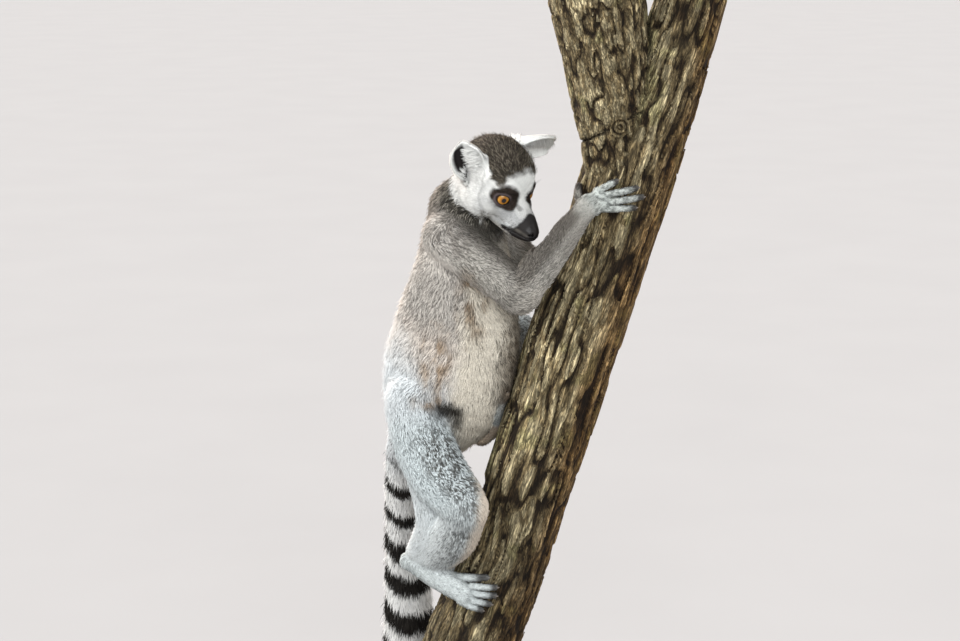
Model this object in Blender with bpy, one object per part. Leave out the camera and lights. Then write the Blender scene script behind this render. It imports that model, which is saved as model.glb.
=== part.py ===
"""A life-size ring-tailed lemur clinging to a leaning tree trunk, on a display stand.

Metres, +Z up. The origin is the centre of the stand's underside. The lemur faces +X, turned a little
towards -Y, so its right side is the -Y side. Every solid of flesh reaches out to the tips of the coat.
"""

import math

import bmesh
import bpy
from mathutils import Matrix, Vector

MM = 0.001
GAP = 0.3 * MM  # clearance between pieces that touch

# --- driving dimensions ------------------------------------------------------------------------
TRUNK_FOOT = Vector((-0.060, 0.0, 0.322))
TRUNK_LEAN = math.radians(17.5)  # from upright, towards +X
TRUNK_RINGS = [  # height, centre in X, radius: the leaning trunk, then its slimmer right limb above the fork
    (0.322, -0.0600, 0.0500), (0.371, -0.0450, 0.0490), (0.461, -0.0115, 0.0450), (0.531, 0.0085, 0.0450),
    (0.600, 0.0305, 0.0460), (0.678, 0.0530, 0.0475), (0.767, 0.0830, 0.0445), (0.832, 0.1015, 0.0465),
    (0.876, 0.1150, 0.0460), (0.920, 0.1310, 0.0420), (0.969, 0.1495, 0.0365), (1.017, 0.1640, 0.0340),
    (1.063, 0.1770, 0.0335),
]
LIMB_RINGS = [  # centre, radius: the thicker left limb of the fork, whose foot is a swollen collar
    (Vector((0.0930, -0.010, 0.850)), 0.0300), (Vector((0.0900, -0.014, 0.884)), 0.0330),
    (Vector((0.0875, -0.014, 0.922)), 0.0395), (Vector((0.0815, -0.014, 0.970)), 0.0435),
    (Vector((0.0725, -0.014, 1.018)), 0.0475), (Vector((0.0650, -0.014, 1.063)), 0.0480),
]

BODY_YAW = math.radians(35)  # how far the chest turns from +X towards -Y
HEAD_YAW = math.radians(42)
HEAD_PITCH = math.radians(27.5)  # nose down
BETWEEN_EYES = Vector((-0.0056, -0.042, 0.8315))

NECK = Vector((-0.057, -0.002, 0.811))
SHOULDER_RIGHT = Vector((-0.071, -0.026, 0.790))
ELBOW_RIGHT = Vector((-0.002, -0.046, 0.737))
WRIST_RIGHT = Vector((0.062, -0.054, 0.822))
SHOULDER_LEFT = Vector((-0.026, 0.038, 0.778))
ELBOW_LEFT = Vector((0.026, 0.066, 0.722))
WRIST_LEFT = Vector((0.076, 0.060, 0.772))
HIP_RIGHT = Vector((-0.104, 0.005, 0.617))
KNEE_RIGHT = Vector((-0.053, -0.062, 0.523))
ANKLE_RIGHT = Vector((-0.096, -0.006, 0.452))
HEEL_RIGHT = Vector((-0.112, -0.002, 0.4485))
HIP_LEFT = Vector((-0.078, 0.060, 0.601))
KNEE_LEFT = Vector((0.003, 0.108, 0.664))
ANKLE_LEFT = Vector((-0.032, 0.040, 0.580))
HEEL_LEFT = Vector((-0.038, 0.034, 0.571))
TAIL_ROOT = Vector((-0.112, 0.050, 0.590))

EYE_RADIUS = 0.0076
EYE_APART = 0.0335
EAR_LENGTH = 0.043
EAR_WIDTH = 0.037
EAR_ROOT = 0.007  # how far an ear's foot is sunk below the side of the head

BASE_SIZE = Vector((0.460, 0.320, 0.018))
ROD_RADIUS = 0.008
ROD_APART = 0.044
FLANGE_RADIUS = 0.044
FLANGE_THICK = 0.008
COLLAR_RADIUS = 0.017
COLLAR_HEIGHT = 0.012

# --- directions --------------------------------------------------------------------------------
UP = Vector((0, 0, 1))
BODY_FRONT = Vector((math.cos(BODY_YAW), -math.sin(BODY_YAW), 0))
BODY_RIGHT = Vector((-math.sin(BODY_YAW), -math.cos(BODY_YAW), 0))
HEAD_RIGHT = Vector((-math.sin(HEAD_YAW), -math.cos(HEAD_YAW), 0))
HEAD_LEVEL = Vector((math.cos(HEAD_YAW), -math.sin(HEAD_YAW), 0))
HEAD_FRONT = HEAD_LEVEL * math.cos(HEAD_PITCH) - UP * math.sin(HEAD_PITCH)
HEAD_UP = HEAD_LEVEL * math.sin(HEAD_PITCH) + UP * math.cos(HEAD_PITCH)
TRUNK_AXIS = Vector((math.sin(TRUNK_LEAN), 0, math.cos(TRUNK_LEAN)))
TRUNK_RIGHT = Vector((TRUNK_AXIS.z, 0, -TRUNK_AXIS.x))

SKULL_PLACE = (-31, 0, 11)  # the middle of the skull, in the head's own frame

# --- the coat's outline, in triangles -----------------------------------------------------------
CORE_VOXEL = 4.0 * MM
FINE_VOXEL = 1.7 * MM
BODY_TRIANGLES = 2900
FLAT_ENOUGH = math.radians(2.5)  # neighbouring facets this close to flat become one


def head_point(front, right, up):
    """A point in the head's own frame, in millimetres from between the eyes."""
    return BETWEEN_EYES + (HEAD_FRONT * front + HEAD_RIGHT * right + HEAD_UP * up) * MM


def trunk_ring(height):
    """The trunk's centre and radius at this height above the floor."""
    for (low, x_low, r_low), (high, x_high, r_high) in zip(TRUNK_RINGS, TRUNK_RINGS[1:]):
        if height <= high or high == TRUNK_RINGS[-1][0]:
            share = (height - low) / (high - low)
            return Vector((x_low + (x_high - x_low) * share, 0, height)), r_low + (r_high - r_low) * share


def on_trunk(height, degrees, lift):
    """A point over the bark: degrees run round the trunk from -Y towards +X, and lift is off the bark."""
    turn = math.radians(degrees)
    out = TRUNK_RIGHT * math.sin(turn) - Vector((0, 1, 0)) * math.cos(turn)
    centre, radius = trunk_ring(height)
    return centre + out * (radius + lift)


SKULL = head_point(*SKULL_PLACE)


# --- building blocks ---------------------------------------------------------------------------
def object_of(bm, name):
    bmesh.ops.recalc_face_normals(bm, faces=bm.faces)
    mesh = bpy.data.meshes.new(name)
    bm.to_mesh(mesh)
    bm.free()
    made = bpy.data.objects.new(name, mesh)
    bpy.context.scene.collection.objects.link(made)
    return made


def spline(stations, steps):
    """Points and radii along a smooth curve through the stations, each (point, half width, half depth)."""
    rows = [(Vector(p), w, d) for p, w, d in stations]
    rows = [rows[0], *rows, rows[-1]]
    out = []
    for i in range(1, len(rows) - 2):
        for k in range(steps):
            t = k / steps
            near = []
            for field in range(3):
                a, b, c, d = (rows[i + j][field] for j in (-1, 0, 1, 2))
                near.append(
                    0.5 * (2 * b + (c - a) * t + (2 * a - 5 * b + 4 * c - d) * t**2
                           + (3 * b - a - 3 * c + d) * t**3)
                )
            out.append(tuple(near))
    out.append(rows[-1])
    return out


def add_tube(bm, stations, side=BODY_RIGHT, steps=4, sides=16, grow=0.0, dome=(25, 50, 72)):
    """A tube of oval rings with domed ends. Half widths run along side, half depths across it."""
    rows = spline(stations, steps)
    first, last = rows[0], rows[-1]
    start = (first[0] - rows[1][0]).normalized()
    end = (last[0] - rows[-2][0]).normalized()
    dome = [math.radians(a) for a in dome]
    rings = [(first[0] + start * (min(first[1:]) + grow) * math.sin(a), first[1], first[2], math.cos(a), -start)
             for a in reversed(dome)]
    for i, (point, width, depth) in enumerate(rows):
        along = rows[min(i + 1, len(rows) - 1)][0] - rows[max(i - 1, 0)][0]
        rings.append((point, width, depth, 1.0, along.normalized()))
    rings += [(last[0] + end * (min(last[1:]) + grow) * math.sin(a), last[1], last[2], math.cos(a), end)
              for a in dome]
    loops = []
    for point, width, depth, share, along in rings:
        across = (side - along * side.dot(along)).normalized()
        other = along.cross(across)
        loops.append([
            bm.verts.new(point + across * (math.cos(t) * (width + grow) * share)
                         + other * (math.sin(t) * (depth + grow) * share))
            for t in (math.tau * k / sides for k in range(sides))
        ])
    for a, b in zip(loops, loops[1:]):
        for k in range(sides):
            bm.faces.new((a[k], a[(k + 1) % sides], b[(k + 1) % sides], b[k]))
    first_pole = bm.verts.new(first[0] + start * (min(first[1:]) + grow))
    last_pole = bm.verts.new(last[0] + end * (min(last[1:]) + grow))
    for k in range(sides):
        bm.faces.new((loops[0][(k + 1) % sides], loops[0][k], first_pole))
        bm.faces.new((loops[-1][k], loops[-1][(k + 1) % sides], last_pole))


def add_ball(bm, centre, radii, axes):
    """An ellipsoid with these half axes, in metres, along these three directions."""
    turn = Matrix([a * r for a, r in zip(axes, radii)]).transposed().to_4x4()
    bmesh.ops.create_icosphere(bm, subdivisions=3, radius=1, matrix=Matrix.Translation(centre) @ turn)


def evaluated(obj, name):
    """A new object holding obj's mesh with its modifiers applied; obj is removed."""
    bpy.context.view_layer.update()
    mesh = bpy.data.meshes.new_from_object(obj.evaluated_get(bpy.context.evaluated_depsgraph_get()))
    bpy.data.objects.remove(obj)
    made = bpy.data.objects.new(name, mesh)
    bpy.context.scene.collection.objects.link(made)
    return made


def remeshed(obj, voxel, smooth, name, triangles=None):
    """obj as one closed skin: voxel remeshed, smoothed and, where triangles is given, reduced to that many."""
    remesh = obj.modifiers.new("remesh", "REMESH")
    remesh.mode = "VOXEL"
    remesh.voxel_size = voxel
    relax = obj.modifiers.new("relax", "SMOOTH")
    relax.factor = 0.5
    relax.iterations = smooth
    made = evaluated(obj, name)
    if triangles:
        fewer = made.modifiers.new("fewer", "DECIMATE")
        fewer.ratio = triangles / (2 * len(made.data.polygons))
        fewer.use_collapse_triangulate = True
        made = evaluated(made, name)
    return made


def boolean(obj, other, operation, name=None):
    """obj cut by, kept inside or joined to other, as a new object."""
    cut = obj.modifiers.new("boolean", "BOOLEAN")
    cut.solver = "EXACT"
    cut.operation = operation
    cut.object = other
    return evaluated(obj, name or obj.name)


def copy_of(obj, name):
    made = bpy.data.objects.new(name, obj.data.copy())
    bpy.context.scene.collection.objects.link(made)
    return made


def keep_largest(obj):
    """Drops the slivers that a cut leaves beside the main body."""
    bm = bmesh.new()
    bm.from_mesh(obj.data)
    bmesh.ops.remove_doubles(bm, verts=bm.verts, dist=0.002 * MM)
    bmesh.ops.dissolve_degenerate(bm, edges=bm.edges, dist=0.002 * MM)
    bmesh.ops.triangulate(bm, faces=bm.faces)
    islands, seen = [], set()
    for start in bm.faces:
        if start in seen:
            continue
        island, open_faces = [], [start]
        seen.add(start)
        while open_faces:
            face = open_faces.pop()
            island.append(face)
            for edge in face.edges:
                for near in edge.link_faces:
                    if near not in seen:
                        seen.add(near)
                        open_faces.append(near)
        islands.append(island)
    islands.sort(key=lambda faces: sum(f.calc_area() for f in faces))
    for island in islands[:-1]:
        bmesh.ops.delete(bm, geom=island, context="FACES")
    loose = [v for v in bm.verts if not v.link_faces]
    bmesh.ops.delete(bm, geom=loose, context="VERTS")
    bmesh.ops.dissolve_limit(bm, angle_limit=FLAT_ENOUGH, verts=bm.verts, edges=bm.edges)
    bmesh.ops.triangulate(bm, faces=bm.faces)
    bm.to_mesh(obj.data)
    bm.free()
    return obj


def finish(obj, name, colour, roughness, metallic=0.0, sharp=40):
    """Names a node and gives it its material and shading."""
    obj.name = name
    obj.data.name = name
    material = bpy.data.materials.new(name)
    material.use_nodes = True
    shader = material.node_tree.nodes["Principled BSDF"]
    shader.inputs["Base Color"].default_value = (*colour, 1)
    shader.inputs["Roughness"].default_value = roughness
    shader.inputs["Metallic"].default_value = metallic
    obj.data.materials.clear()
    obj.data.materials.append(material)
    obj.data.shade_smooth()
    obj.data.set_sharp_from_angle(angle=math.radians(sharp))
    return obj


# --- the limbs, as stations of (point, half width, half depth) ------------------------------------
def at(point, across, deep=None):
    """A station with its half sizes in millimetres."""
    return (point, across * MM, (across if deep is None else deep) * MM)


def mid(a, b, share, lift=(0, 0, 0)):
    return a.lerp(b, share) + Vector(lift)


TORSO = [
    at(NECK, 31, 34),
    at(Vector((-0.056, 0.008, 0.776)), 42, 45),
    at(Vector((-0.058, 0.016, 0.728)), 48, 58),
    at(Vector((-0.063, 0.026, 0.682)), 53, 71),
    at(Vector((-0.073, 0.032, 0.637)), 56, 73),
    at(Vector((-0.086, 0.038, 0.600)), 49, 57),
    at(Vector((-0.091, 0.042, 0.582)), 38, 44),
]
UPPER_ARM_RIGHT = [
    at(SHOULDER_RIGHT, 27),
    at(mid(SHOULDER_RIGHT, ELBOW_RIGHT, 0.5, (0.0, -0.003, 0.0)), 24),
    at(ELBOW_RIGHT, 20),
]
FOREARM_RIGHT = [
    at(ELBOW_RIGHT, 20),
    at(mid(ELBOW_RIGHT, WRIST_RIGHT, 0.35), 19),
    at(mid(ELBOW_RIGHT, WRIST_RIGHT, 0.7), 15),
    at(WRIST_RIGHT, 10.5),
]
UPPER_ARM_LEFT = [
    at(SHOULDER_LEFT, 25),
    at(mid(SHOULDER_LEFT, ELBOW_LEFT, 0.5), 23),
    at(ELBOW_LEFT, 19),
]
FOREARM_LEFT = [
    at(ELBOW_LEFT, 19),
    at(mid(ELBOW_LEFT, WRIST_LEFT, 0.4, (0.0, 0.006, 0.0)), 17),
    at(WRIST_LEFT, 10.5),
]
THIGH_RIGHT = [
    at(HIP_RIGHT, 31, 33),
    at(Vector((-0.099, -0.010, 0.584)), 29, 34),
    at(Vector((-0.081, -0.034, 0.551)), 27, 33),
    at(Vector((-0.061, -0.054, 0.532)), 24, 27),
    at(KNEE_RIGHT, 20, 21),
]
SHIN_RIGHT = [
    at(KNEE_RIGHT, 20, 21),
    at(Vector((-0.064, -0.046, 0.492)), 22, 25),
    at(Vector((-0.079, -0.026, 0.468)), 18, 21),
    at(ANKLE_RIGHT, 13, 13.5),
]
HAMSTRING_RIGHT = [  # the back of the thigh and the calf, pressed together by the folded knee
    at(Vector((-0.099, -0.006, 0.555)), 18, 22),
    at(Vector((-0.088, -0.024, 0.502)), 16, 19),
    at(Vector((-0.097, -0.013, 0.468)), 14, 16),
]
THIGH_LEFT = [
    at(HIP_LEFT, 31),
    at(mid(HIP_LEFT, KNEE_LEFT, 0.5), 31),
    at(KNEE_LEFT, 19),
]
SHIN_LEFT = [
    at(KNEE_LEFT, 19),
    at(mid(KNEE_LEFT, ANKLE_LEFT, 0.4), 21),
    at(ANKLE_LEFT, 11),
]
TAIL = [
    at(TAIL_ROOT, 16),
    at(Vector((-0.121, 0.062, 0.562)), 17),
    at(Vector((-0.122, 0.070, 0.524)), 20),
    at(Vector((-0.120, 0.076, 0.462)), 23.5),
    at(Vector((-0.118, 0.079, 0.410)), 26),
    at(Vector((-0.117, 0.082, 0.356)), 29),
    at(Vector((-0.118, 0.085, 0.300)), 30),
    at(Vector((-0.121, 0.087, 0.242)), 30),
    at(Vector((-0.124, 0.088, 0.186)), 29),
    at(Vector((-0.122, 0.092, 0.138)), 27),
    at(Vector((-0.112, 0.099, 0.096)), 24),
    at(Vector((-0.094, 0.107, 0.070)), 17),
]
FINGERS_RIGHT = [  # height and degrees at the knuckle, then at the tip
    (0.8275, -34, 0.8435, -16),
    (0.8260, -26, 0.8434, 8.5),
    (0.8210, -23, 0.8365, 18),
    (0.8145, -23, 0.8250, 13),
]
THUMB_RIGHT = (0.8130, -52, 0.8262, -66)
FINGERS_LEFT = [
    (0.790, 176, 0.810, 150),
    (0.785, 173, 0.802, 138),
    (0.779, 172, 0.791, 134),
    (0.773, 174, 0.779, 142),
]
THUMB_LEFT = (0.786, -172, 0.806, -168)
TOES_RIGHT = [
    (0.4293, -30, 0.4375, 2),
    (0.4225, -31, 0.4292, 6),
    (0.4160, -33, 0.4195, 5),
    (0.4110, -36, 0.4105, -3.5),
]
GREAT_TOE_RIGHT = (0.4303, -50, 0.4426, -16.5)
TOES_LEFT = [
    (0.597, -128, 0.622, -166),
    (0.591, -129, 0.616, -172),
    (0.585, -130, 0.606, -171),
    (0.580, -127, 0.597, -163),
]
GREAT_TOE_LEFT = (0.588, -98, 0.613, -78)


def digit(span, root_radius, arch, root_lift):
    """Stations of one finger or toe lying over the bark, arched at its middle joint."""
    height_a, turn_a, height_b, turn_b = span
    rows = []
    for share, radius, lift in ((0.0, 1.0, root_lift), (0.45, 0.95, root_radius + arch), (1.0, 0.82, root_radius)):
        point = on_trunk(height_a + (height_b - height_a) * share, turn_a + (turn_b - turn_a) * share, lift * MM)
        rows.append(at(point, root_radius * radius))
    return rows


def paw_tubes(wrist, spans, thumb, root_radius, palm_lift, palm_width, palm_deep):
    """The palm or sole from wrist to knuckles, its four digits and the one set apart."""
    knuckles = [on_trunk(h, turn, palm_lift * MM) for h, turn, _, _ in spans]
    middle = sum(knuckles, Vector()) / len(knuckles)
    across = (knuckles[0] - knuckles[-1]).normalized()
    palm = [at(wrist, 10.5), at(wrist.lerp(middle, 0.5), palm_width * 0.92, palm_deep),
            at(middle, palm_width, palm_deep * 0.9)]
    tubes = [(palm, across)]
    tubes += [(digit(span, root_radius, 2.0, palm_lift), across) for span in spans]
    rows = digit(thumb, root_radius * 1.25, 1.5, root_radius + 1.5)
    rows.insert(0, at(wrist.lerp(middle, 0.35), 6.5))
    tubes.append((rows, across))
    return tubes


def foot_tubes(ankle, heel, spans, great_toe):
    """The heel and sole down to the toes. The great toe is opposed, as a gripping foot's is."""
    knuckles = [on_trunk(h, turn, 6 * MM) for h, turn, _, _ in spans]
    middle = sum(knuckles, Vector()) / len(knuckles)
    across = (knuckles[0] - knuckles[-1]).normalized()
    tubes = [([at(ankle, 11.5), at(heel, 10.5)], across)]
    tubes.append(([at(heel, 10, 10), at(heel.lerp(middle, 0.5), 12, 10), at(middle, 11, 7)], across))
    tubes += [(digit(span, 3.7, 1.5, 6.0), across) for span in spans]
    rows = digit(great_toe, 4.3, 1.5, 5.0)
    rows.insert(0, at(heel.lerp(middle, 0.55), 8))
    tubes.append((rows, across))
    return tubes


HAND_RIGHT = paw_tubes(WRIST_RIGHT, FINGERS_RIGHT, THUMB_RIGHT, 3.5, 6.0, 11, 7.5)
HAND_LEFT = paw_tubes(WRIST_LEFT, FINGERS_LEFT, THUMB_LEFT, 3.5, 6.0, 11, 7.5)
FOOT_RIGHT = foot_tubes(ANKLE_RIGHT, HEEL_RIGHT, TOES_RIGHT, GREAT_TOE_RIGHT)
FOOT_LEFT = foot_tubes(ANKLE_LEFT, HEEL_LEFT, TOES_LEFT, GREAT_TOE_LEFT)


# --- the animal, whole ---------------------------------------------------------------------------
def head_shapes(bm):
    """Skull, cheeks, muzzle and lower jaw, out to the tips of the short coat."""
    axes = (HEAD_FRONT, HEAD_RIGHT, HEAD_UP)
    add_ball(bm, SKULL, (0.041, 0.035, 0.0335), axes)
    add_ball(bm, head_point(-9, 0, 6), (0.016, 0.024, 0.020), axes)
    for side in (-1, 1):
        add_ball(bm, head_point(-26, side * 17, -11), (0.026, 0.018, 0.023), axes)
        add_ball(bm, head_point(-12, side * 16, 0), (0.014, 0.012, 0.014), axes)
        add_ball(bm, head_point(-1, side * 10.5, -8), (0.014, 0.009, 0.011), axes)
    muzzle = [at(head_point(-12, 0, -11), 19, 18), at(head_point(9, 0, -14), 15, 15.5),
              at(head_point(21, 0, -17), 13.5, 13), at(head_point(30, 0, -18.5), 11, 10),
              at(head_point(35.5, 0, -18.5), 8.5, 7.5)]
    jaw = [at(head_point(-22, 0, -22), 18, 13), at(head_point(2, 0, -26), 14, 9.5),
           at(head_point(20, 0, -27), 11.5, 7), at(head_point(31, 0, -24.5), 8.5, 5)]
    add_tube(bm, muzzle, HEAD_RIGHT)
    add_tube(bm, jaw, HEAD_RIGHT)


def neck_shapes(bm):
    add_tube(bm, [at(head_point(-36, 0, 0), 29, 29), at(mid(head_point(-40, 0, -4), NECK, 0.6), 30, 31),
                  at(NECK, 32, 34)], HEAD_RIGHT)


def whole_animal():
    """The body as one closed skin: the heavy parts blended well, then the head, hands and feet added."""
    core = bmesh.new()
    add_tube(core, TORSO)
    axes = (BODY_FRONT, BODY_RIGHT, UP)
    add_ball(core, Vector((-0.060, 0.020, 0.616)), (0.036, 0.040, 0.042), axes)
    add_ball(core, mid(HIP_RIGHT, Vector((-0.095, 0.030, 0.600)), 0.5), (0.034, 0.034, 0.040), axes)
    for stations in (UPPER_ARM_RIGHT, FOREARM_RIGHT, UPPER_ARM_LEFT, FOREARM_LEFT,
                     THIGH_RIGHT, SHIN_RIGHT, HAMSTRING_RIGHT, THIGH_LEFT, SHIN_LEFT, TAIL):
        add_tube(core, stations)
    neck_shapes(core)
    core = remeshed(object_of(core, "core"), CORE_VOXEL, 10, "core")
    fine = bmesh.new()
    fine.from_mesh(core.data)
    bpy.data.objects.remove(core)
    head_shapes(fine)
    for stations, side in HAND_RIGHT + HAND_LEFT + FOOT_RIGHT + FOOT_LEFT:
        add_tube(fine, stations, side, sides=10)
    return remeshed(object_of(fine, "animal"), FINE_VOXEL, 4, "animal", BODY_TRIANGLES)


# --- the tree trunk ------------------------------------------------------------------------------
def bark_tube(rows, sides, uneven, phase, name):
    """A closed tube of slightly uneven rings with flat sawn ends, through (centre, radius) rows."""
    bm = bmesh.new()
    loops = []
    for i, (point, radius) in enumerate(rows):
        along = (rows[min(i + 1, len(rows) - 1)][0] - rows[max(i - 1, 0)][0]).normalized()
        across = (Vector((1, 0, 0)) - along * along.x).normalized()
        other = along.cross(across)
        loop = []
        for k in range(sides):
            turn = math.tau * k / sides
            swell = 1 + uneven * (math.sin(2 * turn + phase + i * 0.9) + 0.6 * math.sin(3 * turn - i * 0.7))
            loop.append(bm.verts.new(point + (across * math.cos(turn) + other * math.sin(turn)) * radius * swell))
        loops.append(loop)
    for a, b in zip(loops, loops[1:]):
        for k in range(sides):
            bm.faces.new((a[k], a[(k + 1) % sides], b[(k + 1) % sides], b[k]))
    bm.faces.new(reversed(loops[0]))
    bm.faces.new(loops[-1])
    return object_of(bm, name)


def tree_trunk(name, grow=0.0, sides=16):
    """The forked trunk with a level foot and sawn tops."""
    below = (Vector((TRUNK_FOOT.x, 0, TRUNK_FOOT.z)) - TRUNK_AXIS * 0.03, TRUNK_RINGS[0][2] + grow)
    rows = [below] + [(Vector((x, 0, height)), radius + grow) for height, x, radius in TRUNK_RINGS]
    trunk = bark_tube(rows, sides, 0.008, 0.4, name)
    branch = bark_tube([(place, radius + grow) for place, radius in LIMB_RINGS], sides, 0.010, 2.0, "limb")
    trunk = boolean(trunk, branch, "UNION", name)
    bpy.data.objects.remove(branch)
    below_foot = box_beyond(TRUNK_FOOT, -UP, 0.1, 0.3, "below_foot")
    trunk = boolean(trunk, below_foot, "DIFFERENCE", name)
    bpy.data.objects.remove(below_foot)
    return trunk


# --- parting the animal --------------------------------------------------------------------------
def box_beyond(origin, away, length, width, name):
    """A box that starts at the plane through origin and runs along away."""
    bm = bmesh.new()
    turn = away.to_track_quat("Z", "Y").to_matrix().to_4x4()
    size = Matrix.Diagonal((width, width, length, 1))
    bmesh.ops.create_cube(bm, size=1, matrix=Matrix.Translation(origin + away * length / 2) @ turn @ size)
    return object_of(bm, name)


def tube_round(stations, side, margin, name):
    bm = bmesh.new()
    add_tube(bm, stations, side, steps=1, sides=12, grow=margin, dome=(45,))
    return object_of(bm, name)


def carve(rest, make_cutter, name):
    """Takes the part inside the cutter out of rest, with a thin gap between them."""
    inner, outer = make_cutter(0.0), make_cutter(GAP)
    part = boolean(copy_of(rest, name), inner, "INTERSECT", name)
    rest = boolean(rest, outer, "DIFFERENCE", "rest")
    for cutter in (inner, outer):
        bpy.data.objects.remove(cutter)
    return keep_largest(rest), keep_largest(part)


def beyond(origin, away, length, width):
    """A cutter maker: what lies past the plane through origin, within a box of this length and width."""
    away = away.normalized()
    return lambda gap: box_beyond(origin - away * gap, away, length + gap, width + 2 * gap, "beyond")


def around(stations, side=BODY_RIGHT, margin=3.0 * MM):
    """A cutter maker: the room round one limb."""
    return lambda gap: tube_round(stations, side, margin + gap, "around")


def tail_place(share):
    rows = spline(TAIL, 6)
    i = round(share * (len(rows) - 1))
    return rows[i][0], (rows[min(i + 1, len(rows) - 1)][0] - rows[i - 1][0]).normalized()


def foot_room(ankle, heel, toes):
    """The stations of the room that one foot takes up, from behind the heel to past the toes."""
    ends = [on_trunk(h, turn, 5 * MM) for _, _, h, turn in toes]
    knuckles = [on_trunk(h, turn, 6 * MM) for h, turn, _, _ in toes]
    back = heel.lerp(ankle, 0.35)
    front = sum(knuckles, Vector()) / 4
    tips = sum(ends, Vector()) / 4
    return [at(back, 11.5), at(back.lerp(front, 0.5), 14, 12), at(front, 19, 15), at(tips, 21, 14)]


def part_animal(animal):
    """The animal's named parts, far ends first."""
    parts = {}

    def take(name, cutter):
        nonlocal animal
        animal, parts[name] = carve(animal, cutter, name)

    head_room = [at(head_point(-66, 0, 18), 22, 24), at(head_point(-50, 0, 12), 38, 38),
                 at(head_point(-30, 0, 5), 42, 45), at(head_point(-6, 0, -6), 38, 41),
                 at(head_point(18, 0, -16), 24, 25), at(head_point(38, 0, -18), 12)]
    take("head", around(head_room, HEAD_RIGHT, 0.0))
    arm = WRIST_RIGHT - ELBOW_RIGHT
    take("hand_right", beyond(WRIST_RIGHT - arm * 0.13, arm + Vector((0.01, 0.0, -0.01)), 0.10, 0.11))
    arm = WRIST_LEFT - ELBOW_LEFT
    take("hand_left", beyond(WRIST_LEFT - arm * 0.13, arm + Vector((0.01, -0.01, 0.0)), 0.09, 0.11))
    for name, share in (("tail_tip", 0.86), ("tail_lower", 0.64), ("tail_middle", 0.42), ("tail_upper", 0.22)):
        point, along = tail_place(share)
        take(name, beyond(point, along, 0.20, 0.080))
    take("tail_base", around(TAIL[:4], margin=4.0 * MM))
    across = on_trunk(*TOES_RIGHT[0][:2], 0) - on_trunk(*TOES_RIGHT[-1][:2], 0)
    take("foot_right", around(foot_room(ANKLE_RIGHT, HEEL_RIGHT, TOES_RIGHT), across, 2.0 * MM))
    grip = [(centre, radius + 13 * MM, radius + 13 * MM)
            for centre, radius in (trunk_ring(height) for height in (0.566, 0.594, 0.622))]
    take("foot_left", around(grip, Vector((0, 1, 0)), 0.0))
    fold = (ELBOW_RIGHT - SHOULDER_RIGHT).normalized() + (WRIST_RIGHT - ELBOW_RIGHT).normalized()
    take("forearm_right", beyond(ELBOW_RIGHT, fold, 0.13, 0.150))
    fold = (ELBOW_LEFT - SHOULDER_LEFT).normalized() + (WRIST_LEFT - ELBOW_LEFT).normalized()
    take("forearm_left", beyond(ELBOW_LEFT, fold, 0.10, 0.130))
    take("shin_right", around(SHIN_RIGHT, margin=3.0 * MM))
    take("shin_left", around(SHIN_LEFT, margin=3.0 * MM))
    take("upper_arm_right", around(UPPER_ARM_RIGHT))
    take("upper_arm_left", around(UPPER_ARM_LEFT))
    thigh_room = [*THIGH_RIGHT[:2], at(Vector((-0.083, -0.032, 0.546)), 33, 41),
                  at(Vector((-0.074, -0.040, 0.512)), 38, 46), at(Vector((-0.085, -0.030, 0.475)), 32, 34)]
    take("thigh_right", around(thigh_room))
    take("thigh_left", around(THIGH_LEFT))
    take("neck", beyond(NECK + Vector((-0.001, 0.003, -0.006)), Vector((0.25, -0.25, 0.93)), 0.09, 0.11))
    parts["torso"] = animal
    return parts


# --- ears, eyes and stand --------------------------------------------------------------------------
def ear(name, root, axis, opening):
    """A cupped ear: a leaf-shaped shell, rounded at the tip, hollow on its opening side."""
    axis = axis.normalized()
    across = axis.cross(opening).normalized()
    opening = across.cross(axis).normalized()
    rows, columns = 9, 8
    bm = bmesh.new()
    grid = []
    for i in range(rows):
        t = i / (rows - 1)
        width = EAR_WIDTH / 2 * math.sin(math.pi * (0.08 + 0.78 * t)) ** 0.8
        row = []
        for j in range(columns):
            s = 2 * j / (columns - 1) - 1
            bowl = (1 - s * s) * (0.34 - 0.16 * t) * EAR_WIDTH
            rise = (EAR_LENGTH + EAR_ROOT) * t * (1 - 0.22 * s * s * t) - EAR_ROOT
            row.append(bm.verts.new(root + axis * rise + across * (s * width) - opening * bowl))
        grid.append(row)
    for a, b in zip(grid, grid[1:]):
        for j in range(columns - 1):
            bm.faces.new((a[j], a[j + 1], b[j + 1], b[j]))
    made = object_of(bm, name)
    shell = made.modifiers.new("coat", "SOLIDIFY")
    shell.thickness = 5.0 * MM
    shell.offset = 0
    made = evaluated(made, name)
    return remeshed(made, 1.3 * MM, 5, name, 250)


def ears():
    right = ear("ear_right", head_point(-34, 29, 1.5), HEAD_UP * 0.82 + HEAD_RIGHT * 0.51 - HEAD_FRONT * 0.28,
                HEAD_FRONT * 0.75 + HEAD_RIGHT * 0.62 - HEAD_UP * 0.15)
    left = ear("ear_left", head_point(-33, -26, 29.5), HEAD_UP * 0.18 - HEAD_RIGHT * 0.87 + HEAD_FRONT * 0.25,
               HEAD_FRONT * 0.95 - HEAD_RIGHT * 0.10 - HEAD_UP * 0.25)
    return {"ear_right": right, "ear_left": left}


def eye(name, side, grow=0.0):
    bm = bmesh.new()
    turn = Vector(HEAD_FRONT * 0.84 + HEAD_RIGHT * side * 0.54).to_track_quat("Z", "Y").to_matrix().to_4x4()
    place = Matrix.Translation(head_point(-3.2, side * EYE_APART * 500, 0))
    bmesh.ops.create_uvsphere(bm, u_segments=14, v_segments=8, radius=EYE_RADIUS + grow, matrix=place @ turn)
    return object_of(bm, name)


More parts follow.
